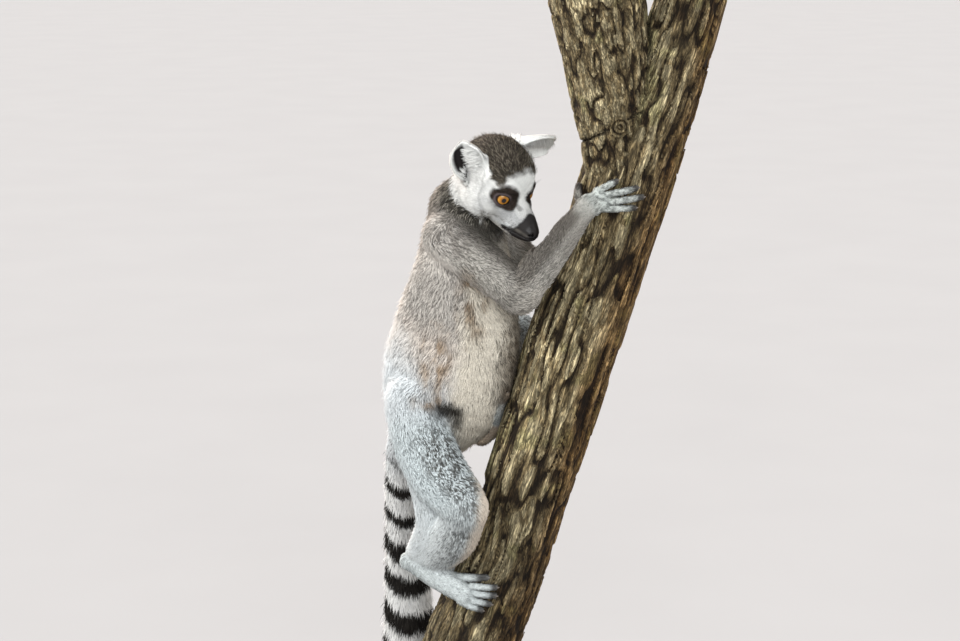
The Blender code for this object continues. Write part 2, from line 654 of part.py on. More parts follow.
def stand_base():
    bm = bmesh.new()
    size = Matrix.Diagonal((*BASE_SIZE, 1))
    bmesh.ops.create_cube(bm, size=1, matrix=Matrix.Translation((0, 0, BASE_SIZE.z / 2)) @ size)
    upright = [e for e in bm.edges if abs(e.verts[0].co.z - e.verts[1].co.z) > 1 * MM]
    bmesh.ops.bevel(bm, geom=upright, offset=0.045, segments=6, affect="EDGES", profile=0.5)
    top = [e for e in bm.edges if all(v.co.z > BASE_SIZE.z - 1e-6 for v in e.verts) and not e.is_wire
           and len({round(f.normal.z, 2) for f in e.link_faces}) > 1]
    bmesh.ops.bevel(bm, geom=top, offset=0.005, segments=2, affect="EDGES", profile=0.5)
    return object_of(bm, "stand_base")


def disc(name, centre, radius, height, segments=32, bevel=0.0):
    """An upright cylinder standing on centre."""
    bm = bmesh.new()
    bmesh.ops.create_cone(bm, cap_ends=True, segments=segments, radius1=radius, radius2=radius, depth=height,
                          matrix=Matrix.Translation(centre + UP * height / 2))
    if bevel:
        rims = [e for e in bm.edges if abs(e.verts[0].co.z - e.verts[1].co.z) < 1e-6]
        bmesh.ops.bevel(bm, geom=rims, offset=bevel, segments=1, affect="EDGES")
    return object_of(bm, name)


def stand():
    """Base plate, two rods in collars, and the flange that the trunk is seated on."""
    steel = ((0.045, 0.045, 0.048), 0.38, 0.7)
    finish(stand_base(), "stand_base", (0.055, 0.040, 0.030), 0.35)
    flange_foot = TRUNK_FOOT.z - GAP - FLANGE_THICK
    flange = disc("stand_flange", Vector((TRUNK_FOOT.x, 0, flange_foot)), FLANGE_RADIUS, FLANGE_THICK, 28, 1.2 * MM)
    finish(flange, "stand_flange", *steel)
    for number, side in ((1, -1), (2, 1)):
        foot = Vector((TRUNK_FOOT.x + side * ROD_APART / 2, 0, BASE_SIZE.z + GAP))
        rod = disc(f"stand_rod_{number}", foot, ROD_RADIUS, flange_foot - GAP - foot.z, 16)
        finish(rod, f"stand_rod_{number}", *steel)
        collar = disc(f"stand_collar_{number}", foot, COLLAR_RADIUS, COLLAR_HEIGHT, 16)
        hole = disc("hole", foot - UP * 0.01, ROD_RADIUS + GAP, COLLAR_HEIGHT + 0.02, 16)
        collar = boolean(collar, hole, "DIFFERENCE")
        bpy.data.objects.remove(hole)
        finish(collar, f"stand_collar_{number}", *steel)


COAT_COLOURS = {
    "head": (0.62, 0.60, 0.56), "neck": (0.20, 0.19, 0.17), "torso": (0.34, 0.31, 0.28),
    "ear": (0.72, 0.71, 0.68), "upper_arm": (0.27, 0.26, 0.24), "forearm": (0.26, 0.25, 0.24),
    "hand": (0.42, 0.43, 0.42), "thigh": (0.42, 0.43, 0.43), "shin": (0.45, 0.45, 0.45),
    "foot": (0.58, 0.59, 0.60), "tail": (0.30, 0.30, 0.29),
}


def coat_colour(name):
    return next(colour for key, colour in COAT_COLOURS.items() if name.startswith(key))


def build():
    for old in list(bpy.data.objects):
        bpy.data.objects.remove(old)
    animal = whole_animal()
    clearance = tree_trunk("clearance", grow=GAP)
    animal = keep_largest(boolean(animal, clearance, "DIFFERENCE", "animal"))
    bpy.data.objects.remove(clearance)
    parts = part_animal(animal)
    for name, made in ears().items():
        parts[name] = keep_largest(boolean(made, parts["head"], "DIFFERENCE", name))
    for side_name, side in (("right", 1), ("left", -1)):
        socket = eye("socket", side, GAP)
        parts["head"] = keep_largest(boolean(parts["head"], socket, "DIFFERENCE", "head"))
        bpy.data.objects.remove(socket)
        finish(eye("eye_" + side_name, side), "eye_" + side_name, (0.62, 0.30, 0.07), 0.05)
    for name, made in parts.items():
        finish(made, name, coat_colour(name), 0.85, sharp=60)
    finish(tree_trunk("perch_trunk"), "perch_trunk", (0.16, 0.12, 0.075), 0.9)
    stand()


build()
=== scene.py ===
"""A ring-tailed lemur clinging to a leaning trunk on a plain display stand.

The CAD frame gives the places. Over it come one skin, a coat of solid tufts, eyes, nails, whiskers, bark and
the stand's finishes. Places are metres. Distances to a surface, half widths, coat depths and the head's own
frame are millimetres.
"""
import math

import bpy
import numpy as np
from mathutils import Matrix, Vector


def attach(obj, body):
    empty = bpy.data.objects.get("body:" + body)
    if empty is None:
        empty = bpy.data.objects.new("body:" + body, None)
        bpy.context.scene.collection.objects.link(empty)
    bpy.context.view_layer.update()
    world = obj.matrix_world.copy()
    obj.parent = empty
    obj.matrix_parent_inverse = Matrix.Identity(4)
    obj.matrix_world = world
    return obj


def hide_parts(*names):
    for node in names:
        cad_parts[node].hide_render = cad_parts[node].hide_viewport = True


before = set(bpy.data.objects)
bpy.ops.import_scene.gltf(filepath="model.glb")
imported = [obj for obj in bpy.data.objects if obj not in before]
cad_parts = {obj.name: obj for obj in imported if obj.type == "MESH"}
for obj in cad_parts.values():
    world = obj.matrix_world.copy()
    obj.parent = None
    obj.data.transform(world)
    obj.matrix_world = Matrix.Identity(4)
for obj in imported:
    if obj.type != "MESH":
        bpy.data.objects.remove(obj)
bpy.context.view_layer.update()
RNG = np.random.default_rng(20261122)
MM = 0.001


# --- places, as in the solids ---------------------------------------------------------------------
def vec(*xyz):
    return np.array(xyz, float)


def unit(v):
    return v / np.maximum(np.linalg.norm(v, axis=-1, keepdims=True), 1e-12)


def dots(a, b):
    """Row by row dot products."""
    return np.einsum("ij,ij->i", a, b)


def oval(*offsets):
    """1 on an oval whose half axes the offsets from its middle are divided by, or else a plain distance."""
    return np.sqrt(sum(offset**2 for offset in offsets))


def along_surface(ways, normals):
    """The part of each direction that lies along the surface."""
    return ways - normals * dots(ways, normals)[:, None]


def mid(a, b, share, lift=(0, 0, 0)):
    return a + (b - a) * share + vec(*lift)


TRUNK_FOOT = vec(-0.060, 0, 0.322)
TRUNK_LEAN = math.radians(17.5)
TRUNK_AXIS = vec(math.sin(TRUNK_LEAN), 0, math.cos(TRUNK_LEAN))
TRUNK_RIGHT = vec(TRUNK_AXIS[2], 0, -TRUNK_AXIS[0])
TRUNK_RINGS = np.array([  # height, centre in X, radius
    (0.322, -0.0600, 0.0500), (0.371, -0.0450, 0.0490), (0.461, -0.0115, 0.0450), (0.531, 0.0085, 0.0450),
    (0.600, 0.0305, 0.0460), (0.678, 0.0530, 0.0475), (0.767, 0.0830, 0.0445), (0.832, 0.1015, 0.0465),
    (0.876, 0.1150, 0.0460), (0.920, 0.1310, 0.0420), (0.969, 0.1495, 0.0365), (1.017, 0.1640, 0.0340),
    (1.063, 0.1770, 0.0335),
])
BODY_YAW, HEAD_YAW, HEAD_PITCH = (math.radians(a) for a in (35, 42, 27.5))
BODY_FRONT = vec(math.cos(BODY_YAW), -math.sin(BODY_YAW), 0)
BODY_RIGHT = vec(-math.sin(BODY_YAW), -math.cos(BODY_YAW), 0)
HEAD_RIGHT = vec(-math.sin(HEAD_YAW), -math.cos(HEAD_YAW), 0)
HEAD_LEVEL = vec(math.cos(HEAD_YAW), -math.sin(HEAD_YAW), 0)
UP = vec(0, 0, 1)
HEAD_FRONT = HEAD_LEVEL * math.cos(HEAD_PITCH) - UP * math.sin(HEAD_PITCH)
HEAD_UP = HEAD_LEVEL * math.sin(HEAD_PITCH) + UP * math.cos(HEAD_PITCH)
HEAD_AXES = np.array([HEAD_FRONT, HEAD_RIGHT, HEAD_UP])
BETWEEN_EYES = vec(-0.0056, -0.042, 0.8315)
EYE_RADIUS = 0.0076
EYE_MM = vec(-3.2, 16.75, 0.0)

NECK = vec(-0.057, -0.002, 0.811)
SHOULDER_R, SHOULDER_L = vec(-0.071, -0.026, 0.790), vec(-0.026, 0.038, 0.778)
ELBOW_R, ELBOW_L = vec(-0.002, -0.046, 0.737), vec(0.026, 0.066, 0.722)
WRIST_R, WRIST_L = vec(0.062, -0.054, 0.822), vec(0.076, 0.060, 0.772)
HIP_R, HIP_L = vec(-0.104, 0.005, 0.617), vec(-0.078, 0.060, 0.601)
KNEE_R, KNEE_L = vec(-0.053, -0.062, 0.523), vec(0.003, 0.108, 0.664)
ANKLE_R, ANKLE_L = vec(-0.096, -0.006, 0.452), vec(-0.032, 0.040, 0.580)
HEEL_R, HEEL_L = vec(-0.112, -0.002, 0.4485), vec(-0.038, 0.034, 0.571)
TAIL_ROOT = vec(-0.112, 0.050, 0.590)
HIP_BALL = mid(HIP_R, vec(-0.095, 0.030, 0.600), 0.5)


def head_point(front, right, up):
    return BETWEEN_EYES + (HEAD_FRONT * front + HEAD_RIGHT * right + HEAD_UP * up) * MM


def in_head(points):
    """Points in the head's own frame: millimetres front, right and up from between the eyes."""
    return (points - BETWEEN_EYES) @ HEAD_AXES.T / MM


def on_trunk(height, degrees, lift):
    """A point over the bark: degrees run from -Y towards +X, and lift is off the bark."""
    turn = math.radians(degrees)
    out = TRUNK_RIGHT * math.sin(turn) - vec(0, 1, 0) * math.cos(turn)
    rings = TRUNK_RINGS
    centre = vec(np.interp(height, rings[:, 0], rings[:, 1]), 0, height)
    return centre + out * (np.interp(height, rings[:, 0], rings[:, 2]) + lift)


# --- tubes: the flesh under the coat --------------------------------------------------------------
# A station is a point, half width, half depth and coat. Widths are out to the tips of the coat, as in the
# solids, and the skin lies inside by the coat's depth there.
def at(point, across, deep, coat):
    return (*point, across, deep, coat)


CORE_TUBES = {
    "torso": [
        at(NECK, 31, 34, 7), at((-0.056, 0.008, 0.776), 42, 45, 8), at((-0.058, 0.016, 0.728), 48, 58, 9),
        at((-0.063, 0.026, 0.682), 53, 71, 9.5), at((-0.073, 0.032, 0.637), 56, 73, 9.5),
        at((-0.086, 0.038, 0.600), 49, 57, 8.5), at((-0.091, 0.042, 0.582), 38, 44, 8)],
    "neck": [
        at(head_point(-36, 0, 0), 29, 29, 6), at(mid(head_point(-40, 0, -4), NECK, 0.6), 30, 31, 7),
        at(NECK, 32, 34, 7)],
    "upper_arm_r": [
        at(SHOULDER_R, 27, 27, 7), at(mid(SHOULDER_R, ELBOW_R, 0.5, (0, -0.003, 0)), 24, 24, 6),
        at(ELBOW_R, 20, 20, 5)],
    "forearm_r": [
        at(ELBOW_R, 20, 20, 5), at(mid(ELBOW_R, WRIST_R, 0.35), 19, 19, 4.5),
        at(mid(ELBOW_R, WRIST_R, 0.7), 15, 15, 3.6), at(WRIST_R, 10.5, 10.5, 2.0)],
    "upper_arm_l": [
        at(SHOULDER_L, 25, 25, 7), at(mid(SHOULDER_L, ELBOW_L, 0.5), 23, 23, 6), at(ELBOW_L, 19, 19, 5)],
    "forearm_l": [
        at(ELBOW_L, 19, 19, 5), at(mid(ELBOW_L, WRIST_L, 0.4, (0, 0.006, 0)), 17, 17, 4),
        at(WRIST_L, 10.5, 10.5, 2.0)],
    "thigh_r": [
        at(HIP_R, 31, 33, 8), at((-0.099, -0.010, 0.584), 29, 34, 7), at((-0.081, -0.034, 0.551), 27, 33, 6),
        at((-0.061, -0.054, 0.532), 24, 27, 5), at(KNEE_R, 20, 21, 4.5)],
    "shin_r": [
        at(KNEE_R, 20, 21, 4.5), at((-0.064, -0.046, 0.492), 22, 25, 4.5),
        at((-0.079, -0.026, 0.468), 18, 21, 3.8), at(ANKLE_R, 13, 13.5, 2.6)],
    "calf_r": [
        at((-0.099, -0.006, 0.555), 18, 22, 6), at((-0.088, -0.024, 0.502), 16, 19, 5),
        at((-0.098, -0.013, 0.469), 14.3, 16, 4), at((-0.1065, -0.004, 0.459), 9.5, 11, 3)],
    "thigh_l": [at(HIP_L, 31, 31, 8), at(mid(HIP_L, KNEE_L, 0.5), 31, 31, 7), at(KNEE_L, 19, 19, 4.5)],
    "shin_l": [at(KNEE_L, 19, 19, 4.5), at(mid(KNEE_L, ANKLE_L, 0.4), 21, 21, 4.5), at(ANKLE_L, 11, 11, 2.2)],
    "tail": [
        at(TAIL_ROOT, 16, 16, 5), at((-0.121, 0.062, 0.562), 17, 17, 6),
        at((-0.122, 0.070, 0.524), 20, 20, 8), at((-0.120, 0.076, 0.462), 23.5, 23.5, 10),
        at((-0.118, 0.079, 0.410), 26, 26, 11.5),
        at((-0.117, 0.082, 0.356), 29, 29, 13), at((-0.118, 0.085, 0.300), 30, 30, 14),
        at((-0.121, 0.087, 0.242), 30, 30, 14), at((-0.124, 0.088, 0.186), 29, 29, 14),
        at((-0.122, 0.092, 0.138), 27, 27, 13.5), at((-0.112, 0.099, 0.096), 24, 24, 13),
        at((-0.099, 0.105, 0.078), 17, 17, 10)],
}
HEAD_TUBES = {
    "muzzle": [
        at(head_point(-12, 0, -11), 19, 18, 2.4), at(head_point(9, 0, -14), 15, 15.5, 1.5),
        at(head_point(21, 0, -17.5), 13.5, 13, 0.9), at(head_point(29, 0, -20), 11, 10, 0.5),
        at(head_point(32.5, 0, -21), 8.8, 7.6, 0.3)],
    "jaw": [
        at(head_point(-22, 0, -22), 18, 13, 3), at(head_point(2, 0, -26), 14, 9.5, 1.6),
        at(head_point(20, 0, -27), 11.5, 7, 0.9), at(head_point(31, 0, -24.5), 8.5, 5, 0.5)],
}
TUBES = {name: ("core", rows) for name, rows in CORE_TUBES.items()}
TUBES.update({name: ("head", rows) for name, rows in HEAD_TUBES.items()})
BODY_AXES = np.array([BODY_FRONT, BODY_RIGHT, UP])
BALLS = {  # group, centre, half axes, axes, coat
    "belly": ("core", vec(-0.060, 0.020, 0.616), (36, 40, 42), BODY_AXES, 8.5),
    "hip": ("core", HIP_BALL, (34, 34, 40), BODY_AXES, 8),
    "calf_foot": ("core", vec(-0.0775, -0.020, 0.450), (13, 11, 12), BODY_AXES, 2.5),
    "skull": ("head", head_point(-31, 0, 11), (41, 35, 33.5), HEAD_AXES, 4.5),
    "brow": ("head", head_point(-9, 0, 6), (16, 24, 20), HEAD_AXES, 2.2),
}
for s, name in ((1, "r"), (-1, "l")):
    BALLS["cheek_" + name] = ("head", head_point(-26, s * 17, -11), (26, 18, 23), HEAD_AXES, 5)
    BALLS["orbit_" + name] = ("head", head_point(-12, s * 16, 0), (14, 12, 14), HEAD_AXES, 1.6)
    BALLS["under_eye_" + name] = ("head", head_point(-1, s * 10.5, -8), (14, 9, 11), HEAD_AXES, 1.4)

# A digit runs from one place on the trunk to another: height and degrees round it, at its root and its tip.
FINGERS_R = [(0.8275, -34, 0.8435, -16), (0.8260, -26, 0.8434, 8.5), (0.8210, -23, 0.8365, 18),
             (0.8145, -23, 0.8250, 13)]
FINGERS_L = [(0.790, 176, 0.810, 150), (0.785, 173, 0.802, 138), (0.779, 172, 0.791, 134),
             (0.773, 174, 0.779, 142)]
TOES_R = [(0.4293, -30, 0.4362, -3), (0.4225, -31, 0.4280, -0.5), (0.4160, -33, 0.4188, -2),
          (0.4110, -36, 0.4106, -9)]
TOES_L = [(0.597, -128, 0.622, -166), (0.591, -129, 0.616, -172), (0.585, -130, 0.606, -171),
          (0.580, -127, 0.597, -163)]
THUMB_R, THUMB_L = (0.8130, -52, 0.8262, -66), (0.786, -172, 0.806, -168)
GREAT_TOE_R, GREAT_TOE_L = (0.4303, -50, 0.4426, -16.5), (0.588, -98, 0.613, -78)
PAW_COAT, KNUCKLE_LIFT = 0.8, 6.0
SIDES = dict.fromkeys(("muzzle", "jaw", "neck"), HEAD_RIGHT)  # the way of a half width, if not BODY_RIGHT


def digit(span, root_radius, arch, root_lift):
    """Stations of a digit, which tapers and thins its coat from root to tip."""
    foot, tip = np.array(span[:2]), np.array(span[2:])
    rows = []
    for share, taper, lift in ((0.0, 1.0, root_lift), (0.45, 0.92, root_radius + arch),
                               (0.97, 0.66, root_radius * 0.8)):
        point = on_trunk(*(foot + (tip - foot) * share), lift * MM)
        rows.append(at(point, root_radius * taper, root_radius * taper, PAW_COAT * (1.15 - 0.9 * share)))
    return rows


def paw(group, wrist, heel, spans, thumb):
    """The palm or sole, its four digits and the one set apart. A hand has no heel."""
    knuckles = [on_trunk(height, turn, KNUCKLE_LIFT * MM) for height, turn, _, _ in spans]
    middle = sum(knuckles) / len(knuckles)
    if heel is None:
        rows = [at(wrist, 10.5, 10.5, 2.0), at(mid(wrist, middle, 0.5), 11 * 0.92, 7.5, PAW_COAT * 1.4),
                at(middle, 11, 7.5 * 0.9, PAW_COAT)]
        radius, thumb_radius, arch, joint = 3.5, 4.375, 2.0, 6.5
        start, thumb_lift = mid(wrist, middle, 0.35), radius + 1.5
    else:
        TUBES[group + "_heel"] = (group, [at(wrist, 11.5, 11.5, 2.2), at(heel, 8.9, 8.9, 1.6)])
        rows = [at(heel, 8.7, 8.9, 1.6), at(mid(heel, middle, 0.5), 12, 10, PAW_COAT * 1.2),
                at(middle, 11, 7, PAW_COAT)]
        radius, thumb_radius, arch, joint = 3.7, 4.3, 1.5, 8
        start, thumb_lift = mid(heel, middle, 0.55), 5.0
    TUBES[group + "_palm"] = (group, rows)
    SIDES[group + "_palm"] = unit(knuckles[0] - knuckles[-1])
    for i, span in enumerate(spans):
        TUBES[f"{group}_digit_{i}"] = (group, digit(span, radius, arch, KNUCKLE_LIFT))
    thumb_rows = digit(thumb, thumb_radius, 1.5, thumb_lift)
    TUBES[group + "_thumb"] = (group, [at(start, joint, joint, PAW_COAT), *thumb_rows])


paw("hand_r", WRIST_R, None, FINGERS_R, THUMB_R)
paw("hand_l", WRIST_L, None, FINGERS_L, THUMB_L)
paw("foot_r", ANKLE_R, HEEL_R, TOES_R, GREAT_TOE_R)
paw("foot_l", ANKLE_L, HEEL_L, TOES_L, GREAT_TOE_L)
DIGITS = [name for name in TUBES if "digit" in name or "thumb" in name]
BLEND = {"core": 3.2, "head": 2.2, "hand_r": 0.9, "hand_l": 0.9, "foot_r": 0.9, "foot_l": 0.9}
GROUP_BLEND = 2.1
REACH = 7  # a shape counts this many blends away


def smooth_rows(stations, steps):
    """A Catmull-Rom curve through the stations, all their numbers at once."""
    rows = np.array(stations, float)
    rows = np.vstack([rows[:1], rows, rows[-1:]])
    out = []
    for a, b, c, d in zip(rows, rows[1:], rows[2:], rows[3:]):
        for t in np.arange(steps) / steps:
            out.append(0.5 * (2 * b + (c - a) * t + (2 * a - 5 * b + 4 * c - d) * t**2
                              + (3 * b - a - 3 * c + d) * t**3))
    return np.array([*out, rows[-1]])


class Tube:
    """A chain of short oval cones. Distances are in mm."""

    def __init__(self, name, group, stations):
        self.name, self.group, self.centre = name, group, None
        rows = smooth_rows(stations, 4)
        self.points, self.across, self.deep, self.coat = rows[:, :3] / MM, rows[:, 3], rows[:, 4], rows[:, 5]
        self.count = len(rows) - 1
        lengths = np.linalg.norm(np.diff(self.points, axis=0), axis=1)
        self.run = np.concatenate([[0], np.cumsum(lengths)])
        self.length = self.run[-1]
        side = SIDES.get(name, BODY_RIGHT)
        self.axis = unit(np.diff(self.points, axis=0))
        self.side = unit(side - self.axis * (self.axis @ side)[:, None])
        self.other = np.cross(self.axis, self.side)

    def value(self, rows, segment, share):
        """Numbers given for each ring, read at these places along the chain."""
        start, end = rows[segment], rows[segment + 1]
        return start + (end - start) * (share[:, None] if rows.ndim > 1 else share)

    def near(self, points, reach):
        low = self.points.min(0) - self.across.max() - reach
        high = self.points.max(0) + self.across.max() + reach
        return np.nonzero(((points > low) & (points < high)).all(1))[0]

    def nearest(self, points, reach):
        """Distance to the skin, and the place along the chain as (segment, share), for these points in mm."""
        best = np.full(len(points), np.inf)
        segment = np.zeros(len(points), int)
        share = np.zeros(len(points))
        for i in range(self.count):
            a, b = self.points[i], self.points[i + 1]
            size = max(self.across[i], self.across[i + 1], self.deep[i], self.deep[i + 1]) + reach
            low, high = np.minimum(a, b) - size, np.maximum(a, b) + size
            hit = np.nonzero(((points > low) & (points < high)).all(1))[0]
            if not len(hit):
                continue
            p = points[hit] - a
            t = np.clip(p @ (b - a) / ((b - a) @ (b - a)), 0, 1)
            q = p - t[:, None] * (b - a)
            rows = (self.coat, self.across, self.deep)
            coat, wide, deep = (row[i] + (row[i + 1] - row[i]) * t for row in rows)
            wide, deep = wide - coat, deep - coat
            x, y, z = q @ self.side[i], q @ self.other[i], q @ self.axis[i]
            small = np.minimum(wide, deep)
            k0, k1 = oval(x / wide, y / deep, z / small), oval(x / wide**2, y / deep**2, z / small**2)
            d = np.where(k1 > 1e-9, k0 * (k0 - 1) / np.maximum(k1, 1e-9), -small)
            win = d < best[hit]
            best[hit[win]] = d[win]
            segment[hit[win]] = i
            share[hit[win]] = t[win]
        return best, segment, share


class Ball:
    """An oval with its coat. Distances are in mm."""

    def __init__(self, name, group, centre, radii, axes, coat):
        self.name, self.group = name, group
        self.centre, self.radii, self.axes = centre / MM, np.array(radii, float) - coat, np.array(axes)
        self.coat = coat

    def near(self, points, reach):
        return np.nonzero((np.abs(points - self.centre) < self.radii.max() + self.coat + reach).all(1))[0]

    def distance(self, points):
        q = (points - self.centre) @ self.axes.T
        k0 = np.linalg.norm(q / self.radii, axis=1)
        k1 = np.linalg.norm(q / self.radii**2, axis=1)
        return np.where(k1 > 1e-9, k0 * (k0 - 1) / np.maximum(k1, 1e-9), -self.radii.min())


SHAPES = [Tube(name, *row) for name, row in TUBES.items()] + [Ball(name, *row) for name, row in BALLS.items()]


# --- the skin as a distance -----------------------------------------------------------------------
def smooth(x, low, high):
    t = np.clip((x - low) / (high - low), 0, 1)
    return t * t * (3 - 2 * t)


def blend_min(a, b, k):
    h = np.clip(0.5 + 0.5 * (b - a) / k, 0, 1)
    return b + (a - b) * h - k * h * (1 - h)


def carve(d, hole, k):
    """Takes a hollow out of a form, with a rounded edge."""
    return -blend_min(-d, hole, k)


NOISE_TABLE = np.random.default_rng(7).uniform(-1, 1, 4096)


def hash_noise(points, size, seed):
    """Smooth value noise from -1 to 1, with features of this size, on points of any scale."""
    q = points / size + 31.7 * (seed + 1)
    cell = np.floor(q).astype(np.int64)
    f = q - cell
    f = f * f * (3 - 2 * f)
    total = 0
    for i in (0, 1):
        for j in (0, 1):
            for k in (0, 1):
                key = (cell[:, 0] + i) * 73856093 ^ (cell[:, 1] + j) * 19349663 ^ (cell[:, 2] + k) * 83492791
                value = NOISE_TABLE[(key ^ (key >> 13)) & (len(NOISE_TABLE) - 1)]
                weight = ((f[:, 0] if i else 1 - f[:, 0]) * (f[:, 1] if j else 1 - f[:, 1])
                          * (f[:, 2] if k else 1 - f[:, 2]))
                total = total + value * weight
    return total


EYE_AXIS, EYE_SIDE = vec(0.84, 0.54, 0.0), vec(-0.54, 0.84, 0.0)  # the right eye's optical axis, and its side
LIDS_OUT = 8.9  # from the eye's centre to the outside of the lids
MOUTH_F, MOUTH_U = (4, 10, 16, 24, 32, 40), (-28.2, -27.3, -26.2, -24.8, -24.2, -24.0)
SNOUT_U, SNOUT_F = (-30, -22, -16.5, -11, -5), (17.5, 19.5, 23.0, 25.0, 23.0)  # where the naked snout begins
EAR_LENGTH, EAR_WIDTH, EAR_ROOT = 43.0, 37.0, 7.0
EARS = {  # foot of the ear, the way it rises and the way it opens
    "ear_right": (vec(-34, 29, 1.5), vec(-0.28, 0.51, 0.82), vec(0.75, 0.62, -0.15)),
    "ear_left": (vec(-33, -26, 29.5), vec(0.25, -0.87, 0.18), vec(0.95, -0.10, -0.25)),
}


def ear_frame(name):
    root, axis, opening = EARS[name]
    axis = unit(axis)
    across = unit(np.cross(axis, opening))
    return root, axis, across, unit(np.cross(across, axis))


def ear_form(share):
    """Half the ear's width and the depth of its cup, at a share of its length."""
    return EAR_WIDTH / 2 * np.sin(math.pi * (0.08 + 0.78 * share)) ** 0.8, (0.34 - 0.16 * share) * EAR_WIDTH


def ear_place(name, head):
    """Where points of the head's frame lie on an ear.

    Returns the share of its length and of its half width, the height off its sheet, how far past its edge and
    its top they are, and how far they rise from its foot.
    """
    root, axis, across, opening = ear_frame(name)
    q = head - root
    rise, aside, out = q @ axis, q @ across, q @ opening
    whole = EAR_LENGTH + EAR_ROOT
    share = np.clip((rise + EAR_ROOT) / whole, 0, 1)
    width, cup = ear_form(share)
    width = width - 2.3
    x = aside / width
    bowl = np.where(np.abs(x) < 1.3, (1 - x * x) * cup, -0.69 * cup)
    slope = 2 * np.clip(x, -1.2, 1.2) * cup / width
    sheet = (out + bowl) / np.sqrt(1 + slope**2)
    top = rise - (whole * (1 - 0.22 * x * x * share) - EAR_ROOT - 2.3)
    return share, x, sheet, (np.abs(x) - 1) * width, top, rise


def ear_distance(name, head):
    _, _, sheet, edge, top, rise = ear_place(name, head)
    rim = np.maximum(np.maximum(edge, top), -rise - EAR_ROOT)
    return carve(np.abs(sheet) - 1.0, -rim, 1.4)


def mirror_right(head):
    """The same place on the right half of the head."""
    return head * np.where(head[:, 1:2] < 0, vec(1, -1, 1), vec(1, 1, 1))


def eye_place(half):
    """Along the optical axis, aside, up and away from the eye's centre, for points of the right half."""
    q = half - EYE_MM
    out, aside, up = q @ EYE_AXIS, q @ EYE_SIDE, q[:, 2]
    return out, aside, up, oval(out, aside, up)


def lid_gap(aside, up):
    """1 on the edge of the lids and less between them."""
    tilt = up - 0.10 * aside
    return oval(aside / 6.5, (tilt + 0.2) / np.where(tilt > 0, 4.9, 4.5))


def sculpt(head, d):
    """Sockets, lids, brows, nostrils, mouth and ears on the head's plain form."""
    half = mirror_right(head)
    out, aside, up, r = eye_place(half)
    d = blend_min(d, r - 8.6 - 0.5 * smooth(up, 1.0, 6.0), 3.2)
    brow = oval((out - 3.4) / 2.6, aside / 10.5, (up - 9.6) / 2.6) * 2.5 - 2.5
    d = blend_min(d, brow, 3.0)
    d = carve(d, np.maximum(np.maximum((lid_gap(aside, up) - 1) * 4.6, 6.4 - r), -out), 0.7)
    f, s, u = half.T
    nose_pad = oval((f - 34.3) / 5.4, s / 6.6, (u + 19.4) / 5.6) * 5.4 - 5.4
    d = blend_min(d, nose_pad, 1.6)
    nostril = oval((f - 37.6) / 2.8, (s - 3.7) / 1.35, (u + 19.2 - 0.35 * (s - 3.7)) / 1.8)
    slit = oval((f - 35.4) / 2.9, (s - 6.2) / 1.7, (u + 20.2) / 0.9)
    d = carve(d, (nostril - 1) * 1.5, 0.6)
    d = carve(d, (slit - 1) * 1.0, 0.6)
    groove = np.maximum(np.maximum(s - 0.45, -d - 1.2), np.maximum(-27 - u, u + 20.5))
    d = carve(d, np.maximum(groove, np.abs(f - 38) - 4.5), 0.5)
    mouth = np.abs(u - np.interp(f, MOUTH_F, MOUTH_U)) - 0.55
    d = carve(d, np.maximum(np.maximum(mouth, -d - 1.7), np.abs(f - 23) - 18.5), 0.6)
    for name in EARS:
        d = blend_min(d, ear_distance(name, head), 2.0)
    return d


def field(points, detail=None):
    """Signed distance to the skin in mm, for points in metres. A dict as detail gets each shape's weight."""
    p = points / MM
    sums, parts = {}, {}
    for shape in SHAPES:
        k = BLEND[shape.group]
        near = shape.near(p, REACH * k)
        if not len(near):
            continue
        if isinstance(shape, Tube):
            d, segment, share = shape.nearest(p[near], REACH * k)
        else:
            d, segment, share = shape.distance(p[near]), None, None
        e = np.exp(-np.minimum(d, 300) / k)
        if shape.group not in sums:
            sums[shape.group] = np.zeros(len(p))
        sums[shape.group][near] += e
        if detail is not None:
            parts[shape.name] = (shape, near, e, segment, share)
    total = np.zeros(len(p))
    pulls = {}
    for group, s in sums.items():
        d = -BLEND[group] * np.log(np.maximum(s, 1e-30))
        pulls[group] = np.exp(-d / GROUP_BLEND)
        total += pulls[group]
    d = -GROUP_BLEND * np.log(np.maximum(total, 1e-60))
    if detail is not None:
        for name, (shape, near, e, segment, share) in parts.items():
            weight = e / sums[shape.group][near] * pulls[shape.group][near] / np.maximum(total[near], 1e-60)
            detail[name] = (shape, near, weight, segment, share)
    head = in_head(points)
    close = np.nonzero((np.abs(head - vec(-15, 0, 5)) < vec(75, 78, 75)).all(1))[0]
    d[close] = sculpt(head[close], d[close])
    return d


# --- meshing a distance ---------------------------------------------------------------------------
def stepped(low, high, coarse, *zones):
    """Grid lines from low to high: coarse steps, and finer ones inside each (start, end, step) zone."""
    out = [low]
    while out[-1] < high:
        step = min([coarse] + [s for a, b, s in zones if a <= out[-1] < b])
        out.append(out[-1] + step)
    return np.array(out)


def lattice(axes):
    return np.stack(np.meshgrid(*axes, indexing="ij"), -1).reshape(-1, 3)


